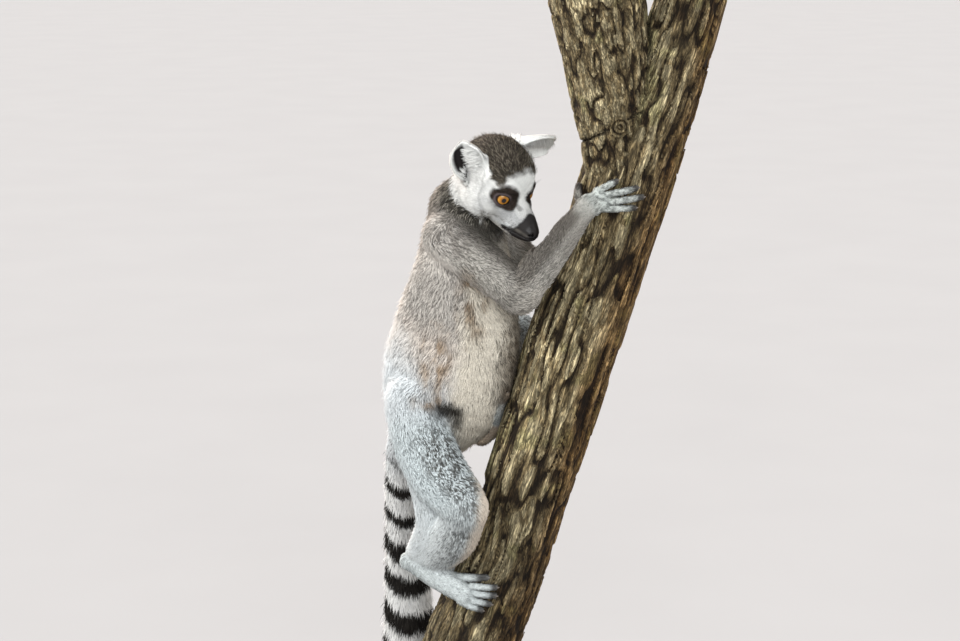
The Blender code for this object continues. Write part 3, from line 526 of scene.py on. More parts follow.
def surface(axes, distance, block=8, safe=1.5, batch=2500):
    """Surface nets on a stretched grid, evaluated only near the surface. Returns points and quads."""
    shape = tuple(len(a) for a in axes)
    counts = [-(-n // block) for n in shape]
    spans = [[(i * block, min((i + 1) * block, n)) for i in range(c)] for n, c in zip(shape, counts)]
    ends = [[(a[lo], a[min(hi, len(a) - 1)]) for lo, hi in span] for a, span in zip(axes, spans)]
    mids = [np.array([(low + high) / 2 for low, high in pairs]) for pairs in ends]
    halves = [np.array([(high - low) / 2 for low, high in pairs]) for pairs in ends]
    reach = np.linalg.norm(lattice(halves), axis=1) / MM
    rough = distance(lattice(mids))
    grid = np.repeat(np.repeat(np.repeat(rough.reshape(counts), block, 0), block, 1), block, 2)
    grid = grid[: shape[0], : shape[1], : shape[2]].astype(np.float32)
    close = np.nonzero(np.abs(rough) < reach * safe)[0]
    offsets = lattice([np.arange(block)] * 3)
    for start in range(0, len(close), batch):
        part = close[start : start + batch]
        cell = np.stack(np.unravel_index(part, counts), -1) * block
        index = (cell[:, None, :] + offsets[None]).reshape(-1, 3)
        index = index[(index < shape).all(1)]
        points = np.stack([axes[i][index[:, i]] for i in range(3)], -1)
        grid[tuple(index.T)] = distance(points)
    inside = grid < 0
    count = np.zeros(tuple(n - 1 for n in shape), np.uint8)
    corners = [(i, j, k) for i in (0, 1) for j in (0, 1) for k in (0, 1)]
    for i, j, k in corners:
        count += inside[i : i + shape[0] - 1, j : j + shape[1] - 1, k : k + shape[2] - 1]
    cells = np.stack(np.nonzero((count > 0) & (count < 8)), -1)
    key = np.ravel_multi_index(tuple(cells.T), shape)
    values = [grid[tuple((cells + c).T)] for c in corners]
    place = np.zeros((len(cells), 3))
    hits = np.zeros(len(cells))
    for a, ca in enumerate(corners):
        for b, cb in enumerate(corners):
            if b <= a or sum(abs(x - y) for x, y in zip(ca, cb)) != 1:
                continue
            crossing = (values[a] < 0) != (values[b] < 0)
            t = np.where(crossing, values[a] / np.where(crossing, values[a] - values[b], 1), 0)
            place += crossing[:, None] * (np.array(ca) + t[:, None] * (np.array(cb) - np.array(ca)))
            hits += crossing
    place = cells + place / hits[:, None]
    points = np.stack([np.interp(place[:, i], np.arange(shape[i]), axes[i]) for i in range(3)], -1)
    quads = []
    for axis in range(3):
        step = np.eye(3, dtype=int)[axis]
        a = inside[tuple(slice(0, n - 1) if i == axis else slice(1, n - 1) for i, n in enumerate(shape))]
        b = inside[tuple(slice(1, n) if i == axis else slice(1, n - 1) for i, n in enumerate(shape))]
        edges = np.stack(np.nonzero(a != b), -1) + (1 - step)
        turned = inside[tuple(edges.T)]
        u, v = np.eye(3, dtype=int)[(axis + 1) % 3], np.eye(3, dtype=int)[(axis + 2) % 3]
        ring = [np.searchsorted(key, np.ravel_multi_index(tuple((edges - o).T), shape))
                for o in (u + v, v, 0 * u, u)]
        quad = np.stack(ring, -1)
        quad[~turned] = quad[~turned][:, ::-1]
        quads.append(quad)
    return points, np.concatenate(quads)


def quad_normals(points, quads):
    a, b, c, d = (points[quads[:, i]] for i in range(4))
    face = np.cross(c - a, d - b)
    sums = [sum(np.bincount(quads[:, i], face[:, j], len(points)) for i in range(4)) for j in range(3)]
    return unit(np.stack(sums, -1))


def settle(points, quads, distance, rounds=2, most=1.0):
    """Moves the mesh onto the surface, along its normals."""
    for _ in range(rounds):
        normals = quad_normals(points, quads)
        points = points - normals * np.clip(distance(points), -most, most)[:, None] * MM
    return points, quad_normals(points, quads)


def mesh_object(name, points, faces, normals=None):
    """A mesh object from arrays: faces is one array of triangles or quads."""
    mesh = bpy.data.meshes.new(name)
    size = faces.shape[1]
    mesh.vertices.add(len(points))
    mesh.vertices.foreach_set("co", np.ascontiguousarray(points, np.float32).ravel())
    mesh.loops.add(faces.size)
    mesh.loops.foreach_set("vertex_index", np.ascontiguousarray(faces, np.int32).ravel())
    mesh.polygons.add(len(faces))
    mesh.polygons.foreach_set("loop_start", np.arange(0, faces.size, size, dtype=np.int32))
    mesh.update(calc_edges=True)
    mesh.polygons.foreach_set("use_smooth", np.ones(len(faces), bool))
    if normals is not None:
        mesh.normals_split_custom_set_from_vertices(np.ascontiguousarray(normals, np.float32))
    made = bpy.data.objects.new(name, mesh)
    bpy.context.scene.collection.objects.link(made)
    return made


def add_layer(obj, name, kind, key, values):
    """A named value on each of the mesh's points, for its material."""
    layer = obj.data.attributes.new(name, kind, "POINT")
    layer.data.foreach_set(key, values.astype(np.float32).ravel())


def add_colours(obj, colours):
    rgba = np.ones((len(colours), 4))
    rgba[:, :3] = np.clip(colours, 0, 1)
    add_layer(obj, "tint", "FLOAT_COLOR", "color", rgba)


# --- markings, with painted light and shade -------------------------------------------------------
def mix(a, b, share):
    share = np.asarray(share)[..., None]
    return np.asarray(a) * (1 - share) + np.asarray(b) * share


WHITE, CREAM = vec(0.77, 0.775, 0.745), vec(0.71, 0.66, 0.555)
CAP, NAPE = vec(0.060, 0.051, 0.039), vec(0.068, 0.063, 0.052)
SHOULDER, BACK = vec(0.32, 0.285, 0.245), vec(0.490, 0.462, 0.420)
FLANK, HIP = vec(0.61, 0.555, 0.495), vec(0.59, 0.625, 0.635)
ARM, ARM_TOP, ARM_UNDER = vec(0.47, 0.448, 0.40), vec(0.17, 0.155, 0.135), vec(0.50, 0.475, 0.43)
THIGH, STIPPLE = vec(0.54, 0.595, 0.60), vec(0.085, 0.085, 0.078)
SHIN, SHIN_EDGE = vec(0.56, 0.60, 0.60), vec(0.68, 0.60, 0.50)
HAND, FOOT = vec(0.64, 0.68, 0.64), vec(0.50, 0.54, 0.535)
BROWN, FOLD_SHADE = vec(0.25, 0.180, 0.115), vec(0.008, 0.006, 0.004)
BELLY_SHADE = vec(0.115, 0.085, 0.055)
PATCH, SNOUT, MUZZLE = vec(0.018, 0.012, 0.009), vec(0.008, 0.0065, 0.006), vec(0.40, 0.41, 0.41)
TAIL_BLACK, TAIL_WHITE = vec(0.016, 0.014, 0.012), vec(0.70, 0.70, 0.68)
LID, PAD_AND_SHADE, EAR_INSIDE = vec(0.060, 0.045, 0.046), vec(0.030, 0.025, 0.023), vec(0.011, 0.008, 0.008)
SHIN_FRONT = vec(0.93, -0.1, -0.1)
# The lower edge of the cheeks' ruff, and the cap's edge across the brow and behind the ears.
RUFF_F, RUFF_U = (-66, -59, -50, -42, -35, -27, -22, -18), (-15, -23, -26.5, -30, -30.5, -32, -34, -40)
CAP_S, CAP_U = (0, 8, 13, 18, 20, 21.5, 24.5, 27, 30, 36), (29.5, 27, 25, 22, 17.5, 12.5, 11.5, 12.5, 14, 19)
NAPE_F, NAPE_U = (-72, -62, -50, -38, -28, -16), (-26, -10, 8, 21, 22.5, 19.0)
TAIL_BANDS = [  # the middle and half length of each black ring at its high side, down the tail
    (52, 1.8), (78, 5.8), (110, 6.2), (146, 10.0), (183, 10.0), (225, 11.5), (266, 12.0), (307, 12.0),
    (348, 12.0), (389, 12.0), (430, 12.0), (470, 12.0), (518, 22.0),
]
SPOTS = [  # centre, radii, strength, colour, and whether it breaks up in streaks
    # Painted light on the hollow behind the shoulder, which faces down into shade.
    ((-0.084, -0.035, 0.766), (0.022, 0.030, 0.017), 0.75, BACK * 1.5, False),
    ((-0.060, -0.050, 0.790), (0.017, 0.030, 0.015), 0.55, SHOULDER * 0.55, True),
    ((-0.080, -0.030, 0.803), (0.018, 0.034, 0.015), 0.75, SHOULDER * 0.62, True),
    # Painted shade over the brightly lit bulge of the hip.
    ((-0.106, -0.010, 0.6310), (0.024, 0.045, 0.017), 0.38, HIP * 0.72, False),
    ((-0.047, -0.036, 0.725), (0.014, 0.024, 0.036), 0.95, BROWN, True),
    ((-0.086, -0.026, 0.668), (0.016, 0.020, 0.026), 0.90, BROWN * 1.35, True),
    ((-0.086, -0.028, 0.644), (0.013, 0.020, 0.022), 0.65, BROWN * 1.25, True),
    ((0.005, -0.020, 0.672), (0.020, 0.040, 0.080), 0.90, BELLY_SHADE, False),
    ((-0.004, -0.020, 0.628), (0.022, 0.040, 0.040), 0.70, BELLY_SHADE, False),
    ((-0.088, -0.028, 0.622), (0.018, 0.020, 0.008), 0.95, BROWN, True),
]
CREASE = [  # strength, centre, radii and softness of the painted shade in the fold between thigh and belly
    (0.92, (-0.0745, -0.026, 0.6130), (0.0150, 0.022, 0.0080), 0.6),
    (0.97, (-0.0655, -0.026, 0.6105), (0.0090, 0.022, 0.0080), 0.7),
    (0.80, (-0.0625, -0.026, 0.6010), (0.0055, 0.022, 0.0090), 0.7),
]


def haunch(points):
    """How far the pale hip reaches up the flank."""
    rise = points[:, 2] + 0.010 * hash_noise(points, 0.016, 15) - 0.038 * smooth(-points[:, 0], 0.085, 0.125)
    return 1 - smooth(rise, 0.600, 0.680)


def torso_paint(points, along, front):
    """Darker at the neck, warm grey on the back, pale towards the hip, cream underneath."""
    back = mix(SHOULDER, BACK, smooth(along, 0.02, 0.25))
    back = mix(back, FLANK, smooth(along, 0.4, 0.6))
    back = mix(back, HIP, haunch(points))
    wave = 0.09 * hash_noise(points, 0.018, 3)
    return mix(back, CREAM, smooth(front + wave, 0.50, 0.74) * smooth(along, 0.06, 0.2))


def arm_paint(facing, low, high):
    """Dark on top, which starts and ends at low and high, and paler under the arm."""
    return mix(mix(ARM, ARM_TOP, smooth(facing, low, high)), ARM_UNDER, smooth(-facing, 0.45, 0.9))


def stippled(points):
    """Fine dark flecks, in looser and denser places."""
    return smooth(hash_noise(points, 0.0014, 23) + 0.4 * hash_noise(points, 0.005, 25), -0.20, 0.20)


def spot(points, centre, radii, edge):
    """1 inside an ellipsoid and 0 outside, with a soft ragged edge."""
    r = np.linalg.norm((points - vec(*centre)) / vec(*radii), axis=1) + 0.22 * hash_noise(points, 0.006, 9)
    return 1 - smooth(r, 1 - edge, 1 + edge)


def tail_paint(points, out, run):
    """Black rings that dip towards the tail's outer side, on white."""
    dip = 13 * smooth(out @ vec(0.45, -0.89, 0), -0.4, 0.95) * smooth(run, 40, 75)
    drop = run - dip + 2.4 * hash_noise(points, 0.012, 6) + 1.5 * hash_noise(points, 0.004, 7)
    black = sum(1 - smooth(np.abs(drop - middle), half - 2.5, half + 2.5) for middle, half in TAIL_BANDS)
    faint = np.where(drop < 62, 0.5, 1.0)
    return mix(mix(HIP, TAIL_WHITE, smooth(run, 30, 90)), TAIL_BLACK, np.clip(black, 0, 1) * faint)


def paw_paint(name, points, out, along):
    """Pale and mottled on top, dark on the pads towards the bark and on the fingertips, with painted shade
    down the sides of the digits.
    """
    q = points - TRUNK_FOOT
    away = unit(q - (q @ TRUNK_AXIS)[:, None] * TRUNK_AXIS)
    # Dark towards the bark: the pads' own dark skin, and painted shade on the sides, between the digits.
    under = (1 - smooth(dots(out, away), -0.35, 0.50)) * (0.15 if name.startswith("foot_l") else 1.0)
    hand, is_digit = name.startswith("hand"), name in DIGITS
    ends = smooth(along, 0.76 if hand else 0.68, 0.94 if hand else 0.90) if is_digit else 0 * along
    body = (HAND * 0.80 if is_digit else HAND) if hand else FOOT
    if name == "hand_r_thumb":
        body = ARM * 0.6
    body = body * (1 - (0.52 if hand else 0.16) * smooth(hash_noise(points, 0.0019, 24), -0.1, 0.5))[:, None]
    if name == "hand_r_palm":
        body = mix(ARM * 0.8, body, smooth(along, -0.1, 0.34))
    if name in ("foot_l_heel", "foot_l_palm"):
        body = mix(body, BROWN * 1.5, 0.85)
    return mix(body, PAD_AND_SHADE, np.maximum(under, 0.88 * ends))


def shape_paint(name, points, out, run, along):
    """The coat on one shape: out is away from its middle, run is along it and along is run's share."""
    if name == "torso":
        return torso_paint(points, along, out @ BODY_FRONT)
    if name == "neck":
        throat = smooth(out @ HEAD_FRONT, 0.35, 0.8) * (1 - smooth(along, 0.4, 0.9))
        return mix(NAPE, BROWN * 1.2, 0.5 * throat)
    if name.startswith("upper_arm"):
        return mix(BACK, arm_paint(out @ vec(0.55, -0.1, 0.83), 0.40, 1.0), smooth(along, 0.05, 0.40))
    if name.startswith("forearm"):
        colour = arm_paint(out @ vec(-0.78, -0.1, 0.6), -0.25, 0.45)
        colour = colour * (1 - 0.26 * smooth(along, 0.05, 0.45))[:, None]
        return mix(colour, HAND * 0.8, 0.6 * smooth(along, 0.88, 1.05))
    if name.startswith("thigh"):
        front = smooth(out @ vec(0.6, -0.3, 0.74), -0.2, 0.60)
        colour = mix(mix(FLANK, HIP, haunch(points)), THIGH, smooth(along, 0.0, 0.35))
        colour = mix(colour, STIPPLE, 0.95 * stippled(points) * front * smooth(along, 0.10, 0.5))
        return mix(colour, SHIN_EDGE, smooth(out @ SHIN_FRONT, 0.45, 0.80) * smooth(along, 0.72, 0.95))
    if name.startswith("shin"):
        front = out @ SHIN_FRONT
        speck = 0.66 * stippled(points) * smooth(front, -0.85, -0.1) * (1 - smooth(along, 0.45, 0.95))
        return mix(mix(SHIN, STIPPLE, speck), SHIN_EDGE, smooth(front, 0.30, 0.70))
    if name == "tail":
        return tail_paint(points, out, run)
    if name == "belly":
        colour = mix(mix(FLANK, HIP, haunch(points)), CREAM, smooth(out @ BODY_FRONT, -0.2, 0.3))
        return mix(colour, BROWN * 0.9, 0.75 * (1 - smooth(points[:, 2], 0.586, 0.632)))
    if name == "hip":
        return mix(FLANK, HIP, haunch(points))
    if name.startswith("calf"):
        return np.broadcast_to(mix(SHIN, HIP, 0.4), (len(points), 3))
    return paw_paint(name, points, out, along)


def head_paint(points, head):
    """Cap, face, cheeks and snout."""
    half = mirror_right(head)
    f, s, u = half.T
    ragged = 1.5 * hash_noise(points, 0.0035, 4) + 1.2 * hash_noise(points, 0.009, 5)
    edge = np.where(f < -16, np.interp(f, NAPE_F, NAPE_U), np.interp(s, CAP_S, CAP_U))
    colour = np.broadcast_to(WHITE, (len(points), 3))
    colour = mix(colour, MUZZLE, smooth(f, -30, -12) * smooth(s, 24, 30) * (1 - smooth(u, 8, 16)) * 0.5)
    side = smooth(f, -7, 5) * smooth(-u + 0.8 * ragged, 5, 12) * smooth(s, 3.5, 8.5)
    colour = mix(colour, MUZZLE, 0.9 * side)
    colour = mix(colour, SNOUT, 0.40 * smooth(f + ragged, 11, 24))
    colour = mix(colour, CREAM, 0.55 * smooth(-u, 26, 32) * smooth(f, -20, 0))
    # the dark oval round the eye, its grey lower border and its tear line
    out, aside, up, _ = eye_place(half)
    a, b = (aside + 1.7) / 14.6, (up - 2.4) / 11.9
    turn = math.radians(10)
    a, b = a * math.cos(turn) + b * math.sin(turn), -a * math.sin(turn) + b * math.cos(turn)
    ring = oval(a, b) + 0.06 * ragged
    ahead = smooth(out, -9, -3)
    colour = mix(colour, MUZZLE * 0.8, 0.75 * (1 - smooth(ring, 1.0, 1.7)) * smooth(-up, 2, 8) * ahead)
    tear = 1 - smooth(np.abs(s - 8.5 + 0.25 * (f - 10)) + 0.5 * np.abs(u + 3.5), 1.5, 4.0)
    tear = 0.55 * (tear * smooth(f, 6, 9)) * (1 - smooth(f, 16, 19))
    colour = mix(colour, PATCH, np.maximum((1 - smooth(ring, 0.84, 1.16)) * ahead, tear))
    colour = mix(colour, CAP, smooth(u + 1.5 * ragged - edge, -2.8, 2.8))
    colour = mix(colour, SNOUT, smooth(f + 0.35 * ragged - np.interp(u, SNOUT_U, SNOUT_F), -0.8, 1.0))
    lips = np.abs(u + 0.4 - np.interp(f, MOUTH_F, MOUTH_U)) + 0.2 * ragged
    corner = (1 - smooth(lips, 1.6, 3.4)) * smooth(f, 4.0, 7.0)
    rim = (1 - smooth(lips, 3.2, 4.6)) * smooth(f, 8, 11) * smooth(f, 8, 20)
    return mix(colour, SNOUT, np.maximum(corner, rim))


def ear_paint(head, colour):
    """White outside and along the margins, dark inside. The far ear is painted whiter and nearly without its
    dark inside, as painted light shining through it from behind.
    """
    for name in EARS:
        share, x, sheet, _, top, rise = ear_place(name, head)
        right = name == "ear_right"
        rear = x if right else -x
        on = (np.abs(sheet) < 4.5) & (np.abs(x) < 1.25) & (rise > 0) & (top < 4)
        inner = on * smooth(sheet, 0.0, 0.9) * smooth(rear, -0.10, 0.15) * (1 - smooth(rear, 0.72, 0.95))
        # The far ear keeps only a trace of its dark inside: painted light shining through it from behind.
        inner = inner * (1 - smooth(share, 0.82, 0.97)) * (1.0 if right else 0.08)
        white = on * smooth(rise, 0, 5)
        if not right:
            white = np.maximum(white, (ear_distance(name, head) < 3.5) & (rise > -6))
        # The far ear's white is painted brighter: painted light shining through it.
        colour = mix(colour, WHITE * (1.0 if right else 1.24), white)
        colour = mix(colour, EAR_INSIDE, inner)
    return colour


def face_share(points, head, share):
    """The head's share, ended along the throat and carried down over the cheeks' ruff."""
    f, aside, u = head[:, 0], np.abs(head[:, 1]), head[:, 2]
    rise = u - (-21.0 - 0.25 * np.minimum(f + 30, 0))
    share = (share * smooth(rise + 2.0 * hash_noise(points, 0.006, 8), -3.0, 1.5)
             + share * (1 - smooth(rise, -3.0, 1.5)) * smooth(f, -16, -6))
    u = u + 1.5 * hash_noise(points, 0.005, 20)
    ruff = smooth(u - np.interp(f, RUFF_F, RUFF_U), -1.8, 1.5) * (f > -71) * (f < -13) * (u < 30)
    return np.maximum(share, ruff * smooth(aside, 8, 14) * (aside < 45))


def paint(points, detail):
    """The coat's colour at these points. detail holds the share of each shape there."""
    n = len(points)
    total, weights, head_weights = np.zeros((n, 3)), np.zeros(n), np.zeros(n)
    for name, (shape, near, weight, segment, share) in detail.items():
        if shape.group == "head":
            head_weights[near] += weight
            continue
        p = points[near]
        centre, run, along = shape.centre, None, None
        if isinstance(shape, Tube):
            centre = shape.value(shape.points, segment, share)
            run = shape.value(shape.run, segment, share) + dots(p / MM - centre, shape.axis[segment])
            along = run / shape.length
        total[near] += shape_paint(name, p, unit(p / MM - centre), run, along) * weight[:, None]
        weights[near] += weight
    colour = np.where(weights[:, None] > 1e-6, total / np.maximum(weights, 1e-6)[:, None], NAPE)
    head = in_head(points)
    face = head_paint(points, head) * (1 - 0.16 * smooth(-head[:, 0], 16, 32))[:, None]
    share = smooth(head_weights / np.maximum(head_weights + weights, 1e-9), 0.35, 0.65)
    share = face_share(points, head, share)
    colour = ear_paint(head, mix(colour, face, share))
    body = 1 - share
    # A dark collar round the head: the neck's own dark fur, and painted shade under the jaw.
    reach = np.linalg.norm(head - vec(-25, 0, -5), axis=1) + 3 * hash_noise(points, 0.006, 19)
    colour = mix(colour, NAPE, 0.9 * body * (1 - smooth(reach, 46, 68)))
    streak = hash_noise(points * vec(1, 1, 0.4), 0.0055, 17) + 0.5 * hash_noise(points, 0.012, 18)
    streak = 0.15 + 0.85 * smooth(streak, -0.45, 0.5)
    for centre, radii, strength, hue, streaked in SPOTS:
        broken = streak if streaked else 1.0
        colour = mix(colour, hue, strength * broken * body * spot(points, centre, radii, 0.7))
    # Painted shade in the fold between thigh and belly.
    crease = np.max([strength * spot(points, *row) for strength, *row in CREASE], axis=0)
    return mix(colour, FOLD_SHADE, body * crease)


# --- the lie and length of the coat ---------------------------------------------------------------
NOSE_TIP = head_point(40, 0, -15)
BALL_FLOW = {"belly": vec(0.15, -0.05, -1.0), "hip": vec(-0.15, 0.0, -1.0), "calf_foot": vec(0.7, -0.3, -0.6)}
NAMES = list(TUBES) + list(BALLS) + list(EARS)


def lie(points, normals, detail):
    """Direction the coat lies in, its depth in mm, and its place on an unwrap: index in NAMES, u and v."""
    n = len(points)
    flow, depth, total = np.zeros((n, 3)), np.zeros(n), np.zeros(n)
    best, place = np.zeros(n), np.zeros((n, 3))
    head = in_head(points)
    face_flow = unit(points - NOSE_TIP) - HEAD_UP * smooth(-head[:, :1], 30, 60) * 1.2
    face_flow = face_flow + HEAD_RIGHT * np.sign(head[:, 1:2]) * 0.15
    for name, (shape, near, weight, segment, share) in detail.items():
        p = points[near]
        if isinstance(shape, Tube):
            way = shape.axis[segment]
            coat = shape.value(shape.coat, segment, share)
            q = p / MM - shape.value(shape.points, segment, share)
            x, y = dots(q, shape.side[segment]), dots(q, shape.other[segment])
            run = shape.value(shape.run, segment, share)
            v = run / shape.length
            if name.startswith(("upper_arm", "thigh", "calf")):
                way = way * smooth(run, 4, 30)[:, None]
        else:
            way = BALL_FLOW.get(name, vec(0, 0, -1)) + 0 * p
            coat = shape.coat
            q = unit((p / MM - shape.centre) @ shape.axes.T)
            x, y, v = q[:, 0], q[:, 1], np.arccos(np.clip(q[:, 2], -1, 1)) / math.pi
        if shape.group == "head":
            way = face_flow[near]
        u = np.arctan2(y, x) / math.tau + 0.5
        flow[near] += way * weight[:, None]
        depth[near] += coat * weight
        total[near] += weight
        win = weight > best[near]
        rows = near[win]
        best[rows] = weight[win]
        place[rows] = np.stack([np.full(len(rows), NAMES.index(name)), u[win], v[win]], -1)
    lost = total < 1e-5
    depth = np.where(lost, 2.0, depth / np.maximum(total, 1e-9))
    for name in EARS:
        share, x, sheet, _, top, rise = ear_place(name, head)
        on = (np.abs(sheet) < 3.0) & (np.abs(x) < 1.25) & (rise > 1) & (top < 2.5)
        _, axis, across, _ = ear_frame(name)
        way = axis @ HEAD_AXES + (across @ HEAD_AXES) * np.clip(x, -1, 1)[:, None] * 0.5
        flow[on] = way[on]
        outer = on & (sheet < 0)
        depth[on] = np.where(outer[on], 2.2, 1.1) * (1 - 0.3 * share[on])
        u = np.clip((x[on] + 1.3) / 2.6, 0, 1) * 0.5 + 0.5 * outer[on]
        place[on] = np.stack([np.full(on.sum(), NAMES.index(name)), u, share[on]], -1)
    out, _, _, r = eye_place(mirror_right(head))
    to_lids = r - LIDS_OUT
    close = (to_lids < 12) & (out > -6)
    depth = np.where(close, np.minimum(depth, 0.8 + 0.2 * np.maximum(to_lids, 0)), depth)
    f, s, u = head.T
    snout = smooth(f, 4, 24) * (np.abs(s) < 20) * (f < 45) * (np.abs(u + 15) < 25)
    depth = np.where(snout > 0, np.minimum(depth, 2.2 - 1.7 * snout), depth)
    return along_surface(flow, normals), depth, place


def bare(points, detail):
    """1 where the skin is naked: snout, lids, insides of the ears, pads and fingertips."""
    head = in_head(points)
    half = mirror_right(head)
    f, s, u = half.T
    start = np.interp(u, SNOUT_U, SNOUT_F) + 0.8
    near = (np.abs(head - vec(10, 0, -5)) < vec(33, 30, 30)).all(1)
    naked = near * smooth(f - start, 0, 1.5) * (s < 18) * (np.abs(u + 17) < 16)
    out, _, _, r = eye_place(half)
    naked = np.maximum(naked, near * (1 - smooth(r, 9.5, 10.1)) * smooth(out, 1.0, 3.0))
    for name in EARS:
        share, x, sheet, _, top, rise = ear_place(name, head)
        on = (np.abs(sheet) < 3.0) & (np.abs(x) < 1.0) & (rise > 2) & (top < 0)
        rear = x if name == "ear_right" else -x
        naked = np.maximum(naked, on * smooth(sheet, 0.2, 0.9) * smooth(rear, -0.5, -0.2)
                           * (1 - smooth(rear, 0.5, 0.7)) * (1 - smooth(share, 0.7, 0.85)))
    for name in [name for name in detail if name in DIGITS]:
        shape, near, weight, segment, share = detail[name]
        along = shape.value(shape.run, segment, share) / shape.length
        naked[near] = np.maximum(naked[near], weight * smooth(along, 0.97, 1.0))
    return naked


def scatter(points, normals, quads, values, density):
    """Even random places on the quads: positions, normals and interpolated values."""
    a, b, c, d = (points[quads[:, i]] for i in range(4))
    area = 0.5 * np.linalg.norm(np.cross(c - a, d - b), axis=1) / MM**2
    wanted = area * density[quads].mean(1)
    count = np.floor(wanted + RNG.random(len(wanted))).astype(int)
    pick = np.repeat(np.arange(len(quads)), count)
    u, v = RNG.random(len(pick)), RNG.random(len(pick))
    share = np.stack([(1 - u) * (1 - v), u * (1 - v), u * v, (1 - u) * v], -1)[..., None]
    corner = quads[pick]
    return [(x[corner] * share).sum(1) for x in (points, normals, *values)]


def locks(roots, normals, flow, height, length, width, colours, curl, rings=1, root_shade=0.72):
    """Closed tapering locks, each three-sided with a point at both ends.

    Returns vertices, faces, colours, normals and the places on each lock's own patch of the unwrap.
    """
    n = len(roots)
    h, l, w = height[:, None] * MM, length[:, None] * MM, width[:, None] * MM
    side = unit(np.cross(normals, flow))
    sway = side * (RNG.normal(0, curl, n)[:, None] * l)
    base = roots - normals * 0.5 * MM
    spine = [(0.42, 0.70, 1.0)] if rings == 1 else [(0.28, 0.55, 1.0), (0.66, 0.90, 0.80)]
    # The root and the lower ring are painted darker: painted shade down among the locks.
    parts, tints, shades = [base], [colours * root_shade], [normals]
    for along, rise, fat in spine:
        centre = roots + flow * l * along + normals * h * rise + sway * along**2
        for across, lift in ((0.5, 0.0), (-0.5, 0.0), (0.0, 0.5)):
            parts.append(centre + side * w * fat * across + normals * w * fat * lift)
            tints.append(colours * (0.92 if along < 0.5 else 1.0))
            shades.append(unit(normals * 0.8 + side * across * 1.1 + flow * 0.25))
    parts.append(roots + flow * l + normals * h * RNG.uniform(0.75, 1.0, (n, 1)) + sway)
    tints.append(colours * 1.06)
    shades.append(unit(normals * 0.8 + flow * 0.5))
    last = len(parts) - 1
    faces = [(3, 1, 0), (2, 3, 0), (1, 2, 0)]
    for k in range(rings - 1):
        low, high = 1 + 3 * k, 4 + 3 * k
        for i, j in ((0, 2), (2, 1), (1, 0)):
            faces += [(low + i, low + j, high + j), (low + i, high + j, high + i)]
    top = 1 + 3 * (rings - 1)
    faces += [(top, top + 2, last), (top + 2, top + 1, last), (top + 1, top, last)]
    sides = [(x, y) for y in np.linspace(-0.1, 0.25, rings) for x in (0.4, -0.4, 0.0)]
    local = np.array([(0.0, -0.5), *sides, (0.0, 0.5)])
    return np.stack(parts, 1), np.array(faces), np.stack(tints, 1), np.stack(shades, 1), local


def coat_piece(name, chunks, slot_name):
    """One mesh from batches of locks: what locks returns, and each lock's place on the unwrap."""
    points, faces, tints, shades, uvs, start = [], [], [], [], [], 0
    for vertices, face, tint, shade, local, place in chunks:
        n, k = vertices.shape[:2]
        points.append(vertices.reshape(-1, 3))
        tints.append(tint.reshape(-1, 3))
        shades.append(shade.reshape(-1, 3))
        uvs.append((place[:, None, :] + local[None] * PATCH_SIZE).reshape(-1, 2))
        faces.append((face[None] + (np.arange(n) * k)[:, None, None] + start).reshape(-1, 3))
        start += n * k
    points, faces = np.concatenate(points), np.concatenate(faces)
    made = mesh_object(name, points, faces, np.concatenate(shades))
    add_colours(made, np.concatenate(tints))
    layer = made.data.uv_layers.new(name="OFBake")
    layer.data.foreach_set("uv", np.concatenate(uvs)[faces.ravel()].astype(np.float32).ravel())
    made.data.materials.append(COAT[slot_name])
    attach(made, "root")


# --- materials ------------------------------------------------------------------------------------
def new_material(name, roughness, **inputs):
    made = bpy.data.materials.new(name)
    made.use_nodes = True
    shader = made.node_tree.nodes["Principled BSDF"]
    shader.inputs["Roughness"].default_value = roughness
    for key, value in inputs.items():
        shader.inputs[key.replace("_", " ")].default_value = value
    return made, made.node_tree, shader


def node(tree, kind, **settings):
    made = tree.nodes.new(kind)
    for key, value in settings.items():
        if key in made.inputs:
            made.inputs[key].default_value = value
        else:
            setattr(made, key, value)
    return made


def stretched(tree, scale, kind="ShaderNodeTexNoise", **settings):
    """A texture over the object's own coordinates, stretched by a scale for each axis."""
    place = node(tree, "ShaderNodeTexCoord")
    shape = node(tree, "ShaderNodeMapping")
    shape.inputs["Scale"].default_value = scale
    tree.links.new(place.outputs["Object"], shape.inputs["Vector"])
    texture = node(tree, kind, **settings)
    tree.links.new(shape.outputs["Vector"], texture.inputs["Vector"])
    return texture


def ramp(tree, source, stops):
    made = node(tree, "ShaderNodeValToRGB")
    while len(made.color_ramp.elements) < len(stops):
        made.color_ramp.elements.new(0.5)
    for element, (at_, colour) in zip(made.color_ramp.elements, stops):
        element.position = at_
        element.color = (*colour, 1)
    tree.links.new(source, made.inputs["Fac"])
    return made.outputs["Color"]


def multiply(tree, a, b):
    made = node(tree, "ShaderNodeMix", data_type="RGBA", blend_type="MULTIPLY")
    made.inputs["Factor"].default_value = 1.0
    tree.links.new(a, made.inputs[6])
    tree.links.new(b, made.inputs[7])
    return made.outputs[2]


def bump(tree, shader, height, strength, distance):
    made = node(tree, "ShaderNodeBump", Strength=strength, Distance=distance)
    tree.links.new(height, made.inputs["Height"])
    tree.links.new(made.outputs["Normal"], shader.inputs["Normal"])


def tinted_material(name, roughness, fleck, scale, **inputs):
    """The tint painted on the mesh, with a fine fleck over it."""
    made, tree, shader = new_material(name, roughness, **inputs)
    tint = node(tree, "ShaderNodeAttribute", attribute_name="tint")
    noise = stretched(tree, (1, 1, 1), Scale=scale, Detail=2.0)
    low, high = 1 - fleck, 1 + fleck * 0.6
    grain = ramp(tree, noise.outputs["Fac"], [(0.3, (low,) * 3), (0.7, (high,) * 3)])
    tree.links.new(multiply(tree, tint.outputs["Color"], grain), shader.inputs["Base Color"])
    return made, tree, shader


# --- the skin -------------------------------------------------------------------------------------
FINE = 1.0


def cell(size):
    """A grid step of so many mm."""
    return size * MM * FINE


